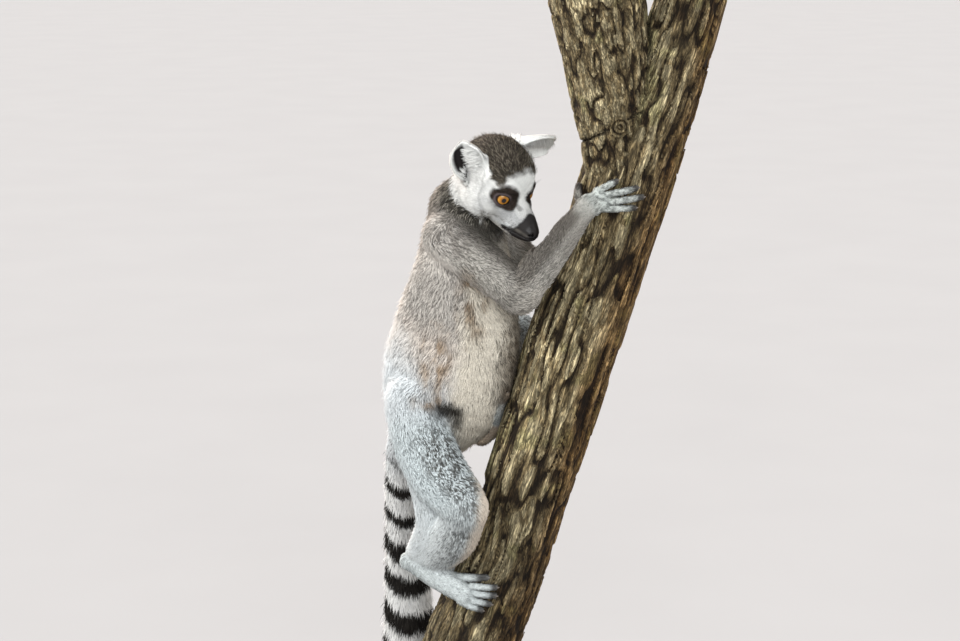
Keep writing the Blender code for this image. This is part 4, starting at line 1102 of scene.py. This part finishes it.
AXES = (
    stepped(-0.162, 0.135, cell(2.2), (-0.078, 0.036, cell(1.1)), (0.036, 0.12, cell(1.25)),
            (-0.12, -0.078, cell(1.5))),
    stepped(-0.095, 0.135, cell(2.2), (-0.085, 0.014, cell(1.1))),
    stepped(0.05, 0.90, cell(2.2), (0.784, 0.890, cell(1.05)), (0.405, 0.46, cell(1.2))),
)
skin_points, skin_quads = surface(AXES, field)
skin_points, skin_normals = settle(skin_points, skin_quads, field)
skin_detail = {}
field(skin_points, skin_detail)
skin_flow, skin_depth, skin_place = lie(skin_points, skin_normals, skin_detail)
skin_bare = bare(skin_points, skin_detail)


def even_out(values, quads, normals, rounds):
    """Averages directions over the mesh, kept along the surface."""
    ends = np.concatenate([quads, np.roll(quads, 1, 1)]).ravel()
    others = np.concatenate([np.roll(quads, 1, 1), quads]).ravel()
    many = np.bincount(ends, minlength=len(values))[:, None]
    for _ in range(rounds):
        sums = np.stack([np.bincount(ends, values[others, i], len(values)) for i in range(3)], -1)
        values = values * 0.3 + 0.7 * sums / many
        values = along_surface(values, normals)
    return unit(values)


skin_flow = even_out(skin_flow, skin_quads, skin_normals, 60)
skin_head = in_head(skin_points)


def skin_colours(tint):
    """Darker between the roots of the long coat as painted shade, with grey lids and a dark line along their
    edges.
    """
    out, aside, up, r = eye_place(mirror_right(skin_head))
    # Painted shade under the coat, deeper where the coat is deeper.
    tint = tint * (0.95 - 0.25 * smooth(skin_depth, 1.2, 5.0))[:, None]
    lid = (1 - smooth(r, 9.2, 10.2)) * smooth(out, 0.5, 2.5)
    return mix(mix(tint, LID, lid), PATCH * 0.5, lid * (1 - smooth(lid_gap(aside, up), 1.08, 1.35)))


skin = mesh_object("skin", skin_points, skin_quads, skin_normals)
add_colours(skin, skin_colours(paint(skin_points, skin_detail)))
wet = smooth(skin_head[:, 0], 31, 34) * (np.abs(skin_head) < 45).all(1) + 0.3 * skin_bare
add_layer(skin, "gloss", "FLOAT", "value", np.clip(wet, 0, 1))
SKIN, tree, shader = tinted_material("skin", 0.6, 0.10, 260.0, Specular_IOR_Level=0.22)
amount = node(tree, "ShaderNodeAttribute", attribute_name="gloss")
rough = node(tree, "ShaderNodeMapRange")
rough.inputs["To Min"].default_value = 0.80
rough.inputs["To Max"].default_value = 0.36
tree.links.new(amount.outputs["Fac"], rough.inputs["Value"])
tree.links.new(rough.outputs["Result"], shader.inputs["Roughness"])
pores = stretched(tree, (1, 1, 1), "ShaderNodeTexVoronoi", Scale=900.0)
bump(tree, shader, pores.outputs["Distance"], 0.35, 0.0004)
skin.data.materials.append(SKIN)
FLESH = (
    "ear_left ear_right foot_left foot_right forearm_left forearm_right hand_left hand_right head neck "
    "shin_left shin_right tail_base tail_lower tail_middle tail_tip tail_upper thigh_left thigh_right torso "
    "upper_arm_left upper_arm_right").split()
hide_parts(*FLESH)
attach(skin, "root")
print("skin", len(skin_quads) * 2, "triangles")


# --- the coat -------------------------------------------------------------------------------------
PATCH_SIZE, PATCH_MARGIN = 0.003, 0.03  # of a lock's patch, and round each shape's cell of the unwrap
PIECE_TRIANGLES = 190000
PAWS = ("coat_hands", "coat_feet")
HEAD_SHAPES = ("muzzle", "jaw", "skull", "brow", "cheek_r", "cheek_l", "orbit_r", "orbit_l", "under_eye_r",
               "under_eye_l")
REGIONS = {  # shapes, locks per square mm, length as a share of the depth, shortest, width, curl and slot
    "coat_head": (HEAD_SHAPES, 2.35, 0.76, 1.7, 0.43, 0.10, "face_coat"),
    "coat_ears": (tuple(EARS), 2.60, 1.4, 1.6, 0.40, 0.12, "face_coat"),
    "coat_neck": (("neck",), 1.15, 1.05, 3.2, 0.62, 0.18, "body_coat"),
    "coat_torso": (("torso", "belly", "hip"), 0.82, 1.02, 3.6, 0.74, 0.24, "body_coat"),
    "coat_thighs": (("thigh_r", "thigh_l"), 0.95, 1.0, 3.0, 0.68, 0.17, "body_coat"),
    "coat_arms": (("upper_arm_r", "upper_arm_l", "forearm_r", "forearm_l"), 1.10, 1.05, 2.6, 0.60, 0.20,
                  "limb_coat"),
    "coat_shins": (("shin_r", "shin_l", "calf_r", "calf_foot"), 1.10, 1.05, 2.6, 0.60, 0.16, "limb_coat"),
    "coat_tail": (("tail",), 0.60, 1.10, 4.0, 0.88, 0.12, "tail_coat"),
    "coat_hands": (tuple(n for n in TUBES if n.startswith("hand")), 1.90, 2.8, 3.0, 0.42, 0.12, "limb_coat"),
    "coat_feet": (tuple(n for n in TUBES if n.startswith("foot")), 1.25, 2.6, 3.0, 0.50, 0.12, "limb_coat"),
}
COAT = {slot_name: tinted_material(slot_name, 0.72, 0.14, 900.0, Specular_IOR_Level=0.10)[0]
        for slot_name in ("face_coat", "body_coat", "limb_coat", "tail_coat")}


def unwrap(place, shapes):
    """A cell of the map for each shape of the piece, with its own unwrap inside."""
    ids = [NAMES.index(n) for n in shapes]
    side = math.ceil(math.sqrt(len(ids)))
    order = np.zeros(len(NAMES), int)
    order[ids] = np.arange(len(ids))
    cell_index = order[place[:, 0].astype(int)]
    return np.stack([
        (whole + PATCH_MARGIN + (1 - 2 * PATCH_MARGIN) * np.clip(place[:, i], 0, 1)) / side
        for i, whole in ((1, cell_index % side), (2, cell_index // side))], -1)


def lock_colours(region, colours, clump):
    """Each lock a little lighter or darker than its place, some much darker, and light flecks in dark fur."""
    n = len(colours)
    pale = smooth(colours.mean(1), 0.50, 0.62)
    spread = 1.7 if region in PAWS else 1.0
    mottle = 1 + spread * (0.12 * clump + RNG.uniform(-0.27, 0.25, n)) * (1 - 0.55 * pale)
    mottle *= np.where(RNG.random(n) < (0.34 if region == "coat_arms" else 0.26) * (1 - pale), 0.50, 1.0)
    colours = colours * mottle[:, None]
    if region not in ("coat_head", "coat_neck"):
        return colours
    dark = 1 - smooth(colours.mean(1), 0.08, 0.16)
    fleck = np.where(RNG.random(n) < 0.28, 2.4 if region == "coat_head" else 1.8, -0.50)
    return colours * (1 + dark * fleck)[:, None]


def grow(region):
    """The locks of one region, as a batch for coat_piece, and their roots."""
    shapes, density, ratio, shortest, width, curl, _ = REGIONS[region]
    ids = [NAMES.index(n) for n in shapes]
    mine = np.isin(skin_place[:, 0].astype(int), ids)
    many = density * mine * (1 - smooth(skin_bare, 0.2, 0.6)) / FINE**2
    roots, normals, naked, flow = scatter(skin_points, skin_normals, skin_quads,
                                          (skin_bare[:, None], skin_flow), many)
    normals = unit(normals)
    detail = {}
    d = field(roots, detail)
    roots = roots - normals * np.clip(d, -1, 1)[:, None] * MM
    _, depth, place = lie(roots, normals, detail)
    flow = unit(along_surface(flow, normals))
    keep = np.isin(place[:, 0].astype(int), ids) & (naked[:, 0] < 0.7)
    roots, normals, flow, depth, place = (x[keep] for x in (roots, normals, flow, depth, place))
    n = len(roots)
    side = np.cross(normals, flow)
    bend = hash_noise(roots, 0.016, 11) * curl * 2.2 + hash_noise(roots, 0.006, 12) * curl
    bend = bend + RNG.normal(0, 0.10, n)
    flow = unit(flow + side * bend[:, None])
    clump = hash_noise(roots, 0.0045, 13)
    paws = region in PAWS
    height = depth * (1.7 if paws else 1.0) * np.clip(RNG.uniform(0.62, 1.0, n) + 0.10 * clump, 0.4, 1.0)
    height = np.maximum(height, RNG.uniform(0.6, 1.4, n) if paws else 0.0)
    fluff = (RNG.random(n) < 0.10) & (depth > 3.2)
    height = height * np.where(fluff, 1.7 if region == "coat_head" else 1.3, 1.0)
    length = np.maximum(depth * ratio, shortest) * RNG.uniform(0.75, 1.15, n)
    length = length * np.where((place[:, 0] == NAMES.index("ear_left")) & (place[:, 2] > 0.72), 1.7, 1.0)
    tip = roots + flow * (length * 0.55)[:, None] * MM + normals * (height * 0.6)[:, None] * MM
    detail = {}
    field(tip, detail)
    colours = lock_colours(region, paint(tip, detail), clump)
    wide = width * RNG.uniform(0.75, 1.25, n) * np.clip(length / 4, 0.6, 1.3) * FINE
    made = locks(roots, normals, flow, height, length, wide, colours, curl * 0.5)
    return (*made, unwrap(place, shapes)), roots


total = 0
for region, (*_, slot_name) in REGIONS.items():
    (vertices, faces, tints, shades, local, place), roots = grow(region)
    triangles = len(vertices) * len(faces)
    pieces = math.ceil(triangles / PIECE_TRIANGLES)
    order = np.argsort(np.argsort(roots[:, 2])) * pieces // max(len(roots), 1)
    for piece in range(pieces):
        mine = order == piece
        name = region if pieces == 1 else f"{region}_{piece + 1}"
        coat_piece(name, [(vertices[mine], faces, tints[mine], shades[mine], local, place[mine])], slot_name)
    total += triangles
    print(region, triangles, "triangles in", pieces)
print("coat", total, "triangles")


# --- the long hair in the ears --------------------------------------------------------------------
def ear_hair(name):
    """Long white hair from the front margin and foot of the ear, over its opening."""
    root, axis, across, opening = ear_frame(name)
    front = -1.0 if name == "ear_right" else 1.0
    count = int(420 / FINE**2)
    share = RNG.uniform(0.08, 0.80, count)
    x = front * RNG.uniform(0.20, 0.92, count)
    low = share < 0.26
    x = np.where(low, RNG.uniform(-0.7, 0.9, count), x)
    width, cup = ear_form(share)
    width = width - 1.5
    rise = share * (EAR_LENGTH + EAR_ROOT) - EAR_ROOT
    head = (root + axis * rise[:, None] + across * (x * width)[:, None]
            + opening * (1.2 - (1 - x * x) * cup)[:, None])
    points = BETWEEN_EYES + head @ HEAD_AXES * MM
    up_ear, over, out = (v @ HEAD_AXES for v in (axis, across, opening))
    lean = np.where(low, 1.1, 0.30)[:, None] + RNG.normal(0, 0.18, count)[:, None]
    flow = unit(-front * over * np.where(low, 0.35, 1.0)[:, None] + up_ear * lean + out * 0.15)
    normals = unit(out + 0 * points - flow * (flow @ out)[:, None])
    short, over_cup = RNG.uniform(7, 12, count), RNG.uniform(0.6, 1.05, count)
    reach = np.where(low, short, (np.abs(x) * 0.62 + 0.48) * width * over_cup)
    height = 1.5 + 3.2 * RNG.random(count) * np.sin(math.pi * np.clip(share, 0.2, 0.9))
    colours = WHITE * RNG.uniform(0.82, 1.06, count)[:, None]
    made = locks(points, normals, flow, height, reach, np.full(count, 0.55), colours, 0.08, 2, 0.85)
    place = np.stack([np.full(count, NAMES.index(name)), (x + 1.3) / 2.6 * 0.5, share], -1)
    return (*made, unwrap(place, tuple(EARS)))


coat_piece("ear_hair", [ear_hair(name) for name in EARS], "face_coat")


# --- eyes, nails and whiskers ---------------------------------------------------------------------
EYE = tinted_material("eye", 0.22, 0.05, 1500.0, Coat_Weight=0.38, Coat_Roughness=0.03,
                      Specular_IOR_Level=0.2)[0]
PUPIL, IRIS, RINGS, SPOKES = 2.15, 6.0, 56, 96


def eye_object(name, side):
    """An eyeball with its cornea, and the iris painted on it in rings and fibres, with a painted shadow of
    the upper lid across its top.
    """
    axis = unit(vec(0.86, 0.51 * side, 0.02)) @ HEAD_AXES
    across = unit(np.cross(axis, HEAD_UP))
    over = np.cross(across, axis)
    centre = head_point(EYE_MM[0], EYE_MM[1] * side, EYE_MM[2])
    polar = math.pi * np.linspace(0, 1, RINGS + 1)[1:-1] ** 1.5
    turn = np.arange(SPOKES) * math.tau / SPOKES
    t, a = (g.ravel() for g in np.meshgrid(polar, turn, indexing="ij"))
    t, a = np.concatenate([[0], t, [math.pi]]), np.concatenate([[0], a, [0]])
    radius = EYE_RADIUS + 0.0005 * (1 - smooth(t, 0.5, 0.95))
    round_axis = np.cos(a)[:, None] * across + np.sin(a)[:, None] * over
    aim = np.cos(t)[:, None] * axis + np.sin(t)[:, None] * round_axis
    points = centre + aim * radius[:, None]
    last = len(points) - 1
    grid = 1 + np.arange(len(polar) * SPOKES).reshape(-1, SPOKES)
    after = np.roll(grid, -1, 1)
    body = np.stack([grid[:-1], grid[1:], after[1:], after[:-1]], -1).reshape(-1, 4)
    front = [(0, p, q) for p, q in zip(grid[0], after[0])]
    back = [(last, q, p) for p, q in zip(grid[-1], after[-1])]
    triangles = np.concatenate([body[:, [0, 1, 2]], body[:, [0, 2, 3]], np.array(front + back)])
    r = EYE_RADIUS / MM * np.sin(np.minimum(t, math.pi / 2))
    ring = np.stack([np.cos(a), np.sin(a), 0 * a], -1)
    fibre = hash_noise(ring * 9 + r[:, None] * 0.12, 1.0, 21) * 0.6 + hash_noise(ring * 22, 1.0, 22) * 0.4
    amber = mix(vec(0.24, 0.090, 0.010), vec(0.40, 0.185, 0.024), smooth(r, 2.0, 4.8))
    # The iris's top is darkened: painted shadow of the upper lid.
    amber = amber * (1 + 0.30 * fibre)[:, None] * (1 - 0.35 * smooth(np.sin(a) * r, 0.5, 5.0))[:, None]
    colour = mix(amber, vec(0.045, 0.018, 0.006), smooth(r, IRIS - 1.1, IRIS - 0.1))
    colour = mix(vec(0.004, 0.003, 0.003), colour, smooth(r, PUPIL - 0.25, PUPIL + 0.35))
    colour = mix(colour, vec(0.05, 0.03, 0.02), smooth(r, IRIS - 0.1, IRIS + 0.4) + (t > 1.5))
    made = mesh_object(name, points, triangles[:, ::-1], aim)
    add_colours(made, colour)
    made.data.materials.append(EYE)
    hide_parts(name.removesuffix("_ball"))
    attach(made, "root")


for side, name in ((1, "eye_right"), (-1, "eye_left")):
    eye_object(name + "_ball", side)


def sweep(centres, sides, lifts, wide, thick, spokes=8):
    """Closed swept forms, many at once: (form, ring, xyz) centres and ways, and (form, ring) half sizes."""
    forms, rings = centres.shape[:2]
    turn = np.arange(spokes) * math.tau / spokes
    points = (centres[:, :, None] + sides[:, :, None] * np.cos(turn)[:, None] * wide[:, :, None, None]
              + lifts[:, :, None] * np.sin(turn)[:, None] * thick[:, :, None, None])
    size = rings * spokes
    grid = np.arange(size).reshape(rings, spokes)
    after = np.roll(grid, -1, 1)
    fan, end = range(1, spokes - 1), grid[-1]
    faces = np.concatenate([
        np.stack([grid[:-1], after[:-1], after[1:]], -1).reshape(-1, 3),
        np.stack([grid[:-1], after[1:], grid[1:]], -1).reshape(-1, 3),
        [(0, k + 1, k) for k in fan],
        [(end[0], end[k], end[k + 1]) for k in fan]])
    return points.reshape(-1, 3), (faces[None] + (np.arange(forms) * size)[:, None, None]).reshape(-1, 3)


def nails():
    """A small pointed nail on the end of each finger and toe."""
    forms = []
    t = np.linspace(0, 1, 7)
    for name in DIGITS:
        tube = next(x for x in SHAPES if x.name == name)
        tip, axis, radius = tube.points[-1], tube.axis[-1], tube.across[-1]
        foot = TRUNK_FOOT / MM
        out = tip - foot - TRUNK_AXIS * ((tip - foot) @ TRUNK_AXIS)
        out = unit(out - axis * (out @ axis))
        way = tip - axis * 1.4 + out * radius * 0.62
        rise = 0.55 * np.sin(math.pi * t * 0.7) - 1.9 * t**2
        line = way + axis * (t * 5.0)[:, None] + out * rise[:, None]
        forms.append((line, np.cross(axis, out) + 0 * line, out + 0 * line,
                      1.30 * (1 - t**1.6) ** 0.75 + 0.12, 0.62 * (1 - t) + 0.14))
    centres, sides, lifts, wide, thick = (np.array(column) for column in zip(*forms))
    points, faces = sweep(centres * MM, sides, lifts, wide * MM, thick * MM)
    made = mesh_object("nails", points, faces)
    run = np.broadcast_to(t[None, :, None], (len(centres), len(t), 8)).ravel()
    add_colours(made, mix(vec(0.045, 0.036, 0.030), vec(0.15, 0.13, 0.11), smooth(run, 0.2, 0.95)))
    return made


def whiskers():
    """Thin dark whiskers from the sides of the muzzle, and a few over each eye."""
    forms = []
    t = np.linspace(0, 1, 8)
    for side in (1, -1):
        for i in range(12):
            row, column = i % 3, i // 3
            if i < 10:  # the rest stand over the eye
                start = vec(15.5 + 3.2 * column, side * (9.6 - 0.6 * column), -14.5 - 2.6 * row)
                way = vec(0.18 - 0.35 * RNG.random(), side * 0.9, -0.30 - 0.22 * row)
                length, droop = RNG.uniform(17, 25), -0.30
            else:
                start, way = vec(2.0 - 2 * row, side * (16 + 2 * row), 10.5), vec(0.5, side * 0.35, 0.7)
                length, droop = RNG.uniform(10, 13), 0.0
            way = unit(way)
            drop = vec(-0.25, 0, droop) * length * 0.45
            line = start + way * (t * length)[:, None] + drop * (t**2)[:, None]
            axis = unit(np.gradient(line, axis=0))
            over = unit(np.cross(axis, vec(0, 0, 1)))
            lift = np.cross(axis, over)
            forms.append((BETWEEN_EYES / MM + line @ HEAD_AXES, over @ HEAD_AXES, lift @ HEAD_AXES,
                          0.16 * (1 - 0.8 * t)))
    centres, sides, lifts, size = (np.array(column) for column in zip(*forms))
    points, faces = sweep(centres * MM, sides, lifts, size * MM, size * MM, 5)
    made = mesh_object("whiskers", points, faces)
    add_colours(made, np.full((len(points), 3), 0.035))
    return made


HORN = tinted_material("horn", 0.38, 0.22, 1400.0)[0]
for made in (nails(), whiskers()):
    made.data.materials.append(HORN)
    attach(made, "root")


# --- the trunk ------------------------------------------------------------------------------------
LIMB_RINGS = np.array([  # centre and radius
    (0.0930, -0.010, 0.850, 0.030), (0.0900, -0.014, 0.884, 0.033), (0.0875, -0.014, 0.922, 0.0395),
    (0.0815, -0.014, 0.970, 0.0435), (0.0725, -0.014, 1.018, 0.0475), (0.0650, -0.014, 1.063, 0.048),
])
KNOT = vec(0.0940, -0.048, 0.899)
COLLAR_FOOT, COLLAR_SLOPE = vec(0.058, 0, 0.8817), 0.567  # where the limb's bark ends over the trunk's


class Bole:
    """A run of round rings along an axis."""

    def __init__(self, centres, radii, axis, across):
        self.foot, self.axis, self.across, self.other = centres[0], axis, across, np.cross(axis, across)
        q = centres - centres[0]
        self.run, self.x, self.y, self.radii = q @ axis, q @ self.across, q @ self.other, radii

    def place(self, points):
        """Along the axis, the two offsets from it, and the distance to the plain side in mm."""
        q = points - self.foot
        run = q @ self.axis
        x = q @ self.across - np.interp(run, self.run, self.x)
        y = q @ self.other - np.interp(run, self.run, self.y)
        return run, x, y, (np.hypot(x, y) - np.interp(run, self.run, self.radii)) / MM


rise, aside, radii = TRUNK_RINGS.T
TRUNK = Bole(np.stack([aside, 0 * rise, rise], -1), radii, TRUNK_AXIS, TRUNK_RIGHT)
limb_axis = unit(LIMB_RINGS[-1, :3] - LIMB_RINGS[1, :3])
LIMB = Bole(LIMB_RINGS[:, :3], LIMB_RINGS[:, 3], limb_axis, unit(np.cross(vec(0, 1, 0), limb_axis)))


def ridges(run, x, y, seed, size, squeeze):
    """Bark from 0 in its fissures to 1 on its crests."""
    plain = np.stack([x, y, run * 0.5], -1)
    drift = 0.0030 * np.stack([hash_noise(plain, 0.018, seed + i) for i in range(2)], -1)
    q = np.stack([x + drift[:, 0], y + drift[:, 1], run * squeeze], -1)
    wide, fine = np.abs(hash_noise(q, size, seed)), np.abs(hash_noise(q, size * 0.6, seed + 5))
    return smooth(wide, 0.02, 0.34) * (0.60 + 0.40 * smooth(fine, 0.03, 0.40))


def sawn_share(end, side):
    """1 on the wood of a cut: end is mm past the cut, and side is off the bark."""
    return (np.abs(end) < 1.0) * smooth(-side, 1.5, 2.5)


def bark(points, parts=None):
    """Signed distance to the bark in mm. A dict as parts gets what the colours and the material need."""
    run, x, y, side = TRUNK.place(points)
    run_l, x_l, y_l, side_l = LIMB.place(points)
    off = np.linalg.norm(points - KNOT, axis=1) / MM
    eye = 1 - smooth(off + 1.5 * hash_noise(points, 0.007, 63), 8, 13)
    rings = 0.5 + 0.5 * np.cos(off * 1.37)
    ridge = mix(ridges(run, x, y, 30, 0.0066, 0.15)[:, None], rings[:, None], eye)[:, 0]
    ridge_l = mix(ridges(run_l, x_l, y_l, 50, 0.0062, 0.30)[:, None], rings[:, None], eye)[:, 0]
    body, limb = side + 3.3 * (1 - ridge), side_l + 2.7 * (1 - ridge_l)
    limb = np.maximum(limb, (LIMB.run[0] - run_l) / MM)
    fork = np.exp(-(((side - side_l) / 2.4) ** 2)) * smooth(run_l, 0.090, 0.120)
    rise = points[:, 2] - COLLAR_FOOT[2] - COLLAR_SLOPE * (points[:, 0] - COLLAR_FOOT[0])
    collar = 1 - smooth(np.abs(rise / MM + 2.2 * hash_noise(points, 0.010, 64)), 0.5, 2.4)
    collar = collar * (1 - smooth(points[:, 0], 0.112, 0.124)) * (1 - 0.8 * eye) * (points[:, 1] < 0)
    seam = np.maximum(fork, collar)
    low = (TRUNK_FOOT[2] - points[:, 2]) / MM
    top, top_l = (run - TRUNK.run[-1]) / MM, (run_l - LIMB.run[-1]) / MM
    whole = blend_min(np.maximum(body, np.maximum(low, top)), np.maximum(limb, top_l), 1.5)
    if parts is not None:
        share = smooth(body - limb, -1.5, 1.5)
        cuts = np.maximum(sawn_share(top, body), sawn_share(low, body)) * (1 - share)
        grain = mix(np.stack([x, y, run * 0.16], -1), np.stack([x_l, y_l, run_l * 0.34], -1), share > 0.5)
        parts.update(ridge=ridge * (1 - share) + ridge_l * share, seam=seam, limb=share, x=x, grain=grain,
                     sawn=np.maximum(cuts, sawn_share(top_l, limb) * share),
                     radius=np.where(share > 0.5, np.hypot(x_l, y_l), np.hypot(x, y)) / MM)
    return np.maximum(whole, np.minimum(side, side_l) + 4.5 * seam)


def bark_colours(points, ridge, seam, limb, x, sawn, radius):
    """Fissures darker and crests paler, partly as painted shade and painted highlight; lichen; a redder right
    side, darker as painted shade; painted shade low down and in the fork's cleft; rings on the sawn ends.
    """
    patchy = hash_noise(points * vec(1, 1, 0.5), 0.028, 60)
    # Darker in the fissures and paler on the crests: partly the bark's own colour, partly painted shade in
    # the fissures and a painted highlight on the crests.
    colour = mix(vec(0.030, 0.019, 0.009), vec(0.21, 0.158, 0.080), smooth(ridge, 0.05, 0.55))
    colour = mix(colour, vec(0.47, 0.395, 0.235), smooth(ridge + 0.15 * patchy, 0.60, 1.05))
    lichen = smooth(hash_noise(points, 0.016, 61) + 0.5 * patchy, 0.25, 0.6) * smooth(ridge, 0.4, 0.8)
    colour = mix(colour, vec(0.28, 0.26, 0.10), 0.45 * lichen)
    # The right side, away from the key light, is painted redder, and darker as painted shade.
    red_and_shaded_side = smooth(x / MM + 12 * patchy, 6, 34) * (1 - 0.7 * limb)
    colour = mix(colour, colour * vec(0.66, 0.50, 0.36), red_and_shaded_side)
    # Painted shade: darker towards the foot of the trunk.
    colour = colour * (1 - 0.35 * (1 - smooth(points[:, 2], 0.38, 0.60)))[:, None]
    # Dark along the collar's joint line, and in the fork's cleft as painted shade.
    colour = mix(colour, vec(0.016, 0.010, 0.006), 0.85 * seam)
    rings = 0.5 + 0.5 * np.sin(radius * 2.1 + 1.2 * hash_noise(points, 0.014, 62))
    wood = mix(vec(0.40, 0.27, 0.145), vec(0.27, 0.16, 0.075), rings)
    wood = mix(vec(0.20, 0.11, 0.05), wood, smooth(radius, 2, 7))
    return mix(colour, wood, sawn)


step, knot_step = cell(2.14), cell(1.65)
bark_axes = (stepped(-0.118, 0.222, step, (0.082, 0.108, knot_step)), stepped(-0.066, 0.056, step),
             stepped(0.316, 1.080, step * 1.12, (0.886, 0.913, knot_step)))
bark_points, bark_quads = surface(bark_axes, bark)
bark_points, bark_normals = settle(bark_points, bark_quads, bark, 1, 0.8)
trunk = mesh_object("bark", bark_points, bark_quads, bark_normals)
parts = {}
bark(bark_points, parts)
grain_places = parts.pop("grain")
add_colours(trunk, bark_colours(bark_points, **parts))
add_layer(trunk, "grain", "FLOAT_VECTOR", "vector", grain_places)
add_layer(trunk, "sawn", "FLOAT", "value", parts["sawn"])
BARK, tree, shader = new_material("bark", 0.86, Specular_IOR_Level=0.15)
tint, grain, sawn = (node(tree, "ShaderNodeAttribute", attribute_name=n) for n in ("tint", "grain", "sawn"))
cracks = []
for size, depth, low, high in ((230.0, 0.30, 0.05, 1.22), (520.0, 0.45, 0.035, 1.12)):
    texture = node(tree, "ShaderNodeTexNoise", Scale=size, Detail=2.0, Roughness=0.55, Distortion=0.25)
    tree.links.new(grain.outputs["Vector"], texture.inputs["Vector"])
    cracks.append(ramp(tree, texture.outputs["Fac"], [
        (0.5 - 3 * low, (high,) * 3), (0.5 - low * 0.35, (depth,) * 3),
        (0.5 + low * 0.35, (depth,) * 3), (0.5 + 3 * low, (high,) * 3)]))
whole = multiply(tree, *cracks)
plain = node(tree, "ShaderNodeMix", data_type="RGBA")
plain.inputs[7].default_value = (1, 1, 1, 1)
tree.links.new(sawn.outputs["Fac"], plain.inputs["Factor"])
tree.links.new(whole, plain.inputs[6])
tree.links.new(multiply(tree, tint.outputs["Color"], plain.outputs[2]), shader.inputs["Base Color"])
bump(tree, shader, plain.outputs[2], 0.9, 0.0016)
trunk.data.materials.append(BARK)
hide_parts("perch_trunk")
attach(trunk, "root")
print("bark", len(bark_quads) * 2, "triangles")


# --- the stand ------------------------------------------------------------------------------------
def noise_colours(tree, shader, stops, texture):
    """A noise texture's colours, as stops of a ramp."""
    tree.links.new(ramp(tree, texture.outputs["Fac"], stops), shader.inputs["Base Color"])


WOOD, tree, shader = new_material("base_wood", 0.62, Specular_IOR_Level=0.2)
grain = stretched(tree, (3.0, 60.0, 60.0), Scale=2.2, Detail=6.0, Distortion=0.6)
noise_colours(tree, shader, [(0.30, (0.030, 0.015, 0.008)), (0.52, (0.070, 0.036, 0.018)),
                             (0.70, (0.115, 0.062, 0.032))], grain)
bump(tree, shader, grain.outputs["Fac"], 0.15, 0.0006)
STEEL, tree, shader = new_material("dark_steel", 0.42, Metallic=0.55)
speck = stretched(tree, (1, 1, 1), Scale=900.0, Detail=3.0)
noise_colours(tree, shader, [(0.3, (0.016, 0.016, 0.017)), (0.7, (0.030, 0.030, 0.032))], speck)
bump(tree, shader, speck.outputs["Fac"], 0.12, 0.0003)
for name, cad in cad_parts.items():
    if name.startswith("stand_"):
        cad.data.materials.clear()
        cad.data.materials.append(WOOD if name == "stand_base" else STEEL)


# --- camera, light and floor ----------------------------------------------------------------------
camera_data = bpy.data.cameras.new("camera")
camera_data.lens, camera_data.sensor_width = 75, 36
camera = bpy.data.objects.new("camera", camera_data)
camera.location = (-0.040, -1.956, 1.116)
camera.rotation_euler = (math.radians(78), 0, 0)
bpy.context.scene.collection.objects.link(camera)
bpy.context.scene.camera = camera
bpy.context.scene.view_settings.view_transform = "Standard"


def soft_sun(name, away, power, degrees, colour):
    """A far soft light: away points from the object to it, and degrees is its width."""
    data = bpy.data.lights.new(name, "SUN")
    data.energy, data.angle, data.color = power, math.radians(degrees), colour
    made = bpy.data.objects.new(name, data)
    made.rotation_euler = Vector(away).to_track_quat("Z", "Y").to_euler()
    bpy.context.scene.collection.objects.link(made)


soft_sun("key", (-1.9, -0.5, 1.3), 4.1, 28, (1.0, 0.985, 0.97))
soft_sun("rim", (-1.2, 1.8, 1.0), 4.0, 20, (1.0, 0.80, 0.70))
soft_sun("fill", (0.3, -2.6, 0.8), 2.6, 40, (0.97, 0.985, 1.0))
soft_sun("right", (1.9, 0.3, 0.9), 1.1, 40, (1.0, 0.95, 0.90))
world = bpy.data.worlds.new("studio")
world.use_nodes = True
background = world.node_tree.nodes["Background"].inputs
background["Color"].default_value = (0.96, 0.97, 1.0, 1)
background["Strength"].default_value = 0.85
bpy.context.scene.world = world
floor_points = np.array([(-40, -40, 0), (40, -40, 0), (40, 40, 0), (-40, 40, 0)], float)
floor = mesh_object("floor", floor_points, np.array([[0, 1, 2, 3]]))
FLOOR, tree, shader = new_material("floor", 0.9, Specular_IOR_Level=0.0)
mottle = stretched(tree, (1, 1, 1), Scale=3.0, Detail=3.0)
noise_colours(tree, shader, [(0.3, (0.316, 0.319, 0.320)), (0.7, (0.324, 0.327, 0.328))], mottle)
floor.data.materials.append(FLOOR)
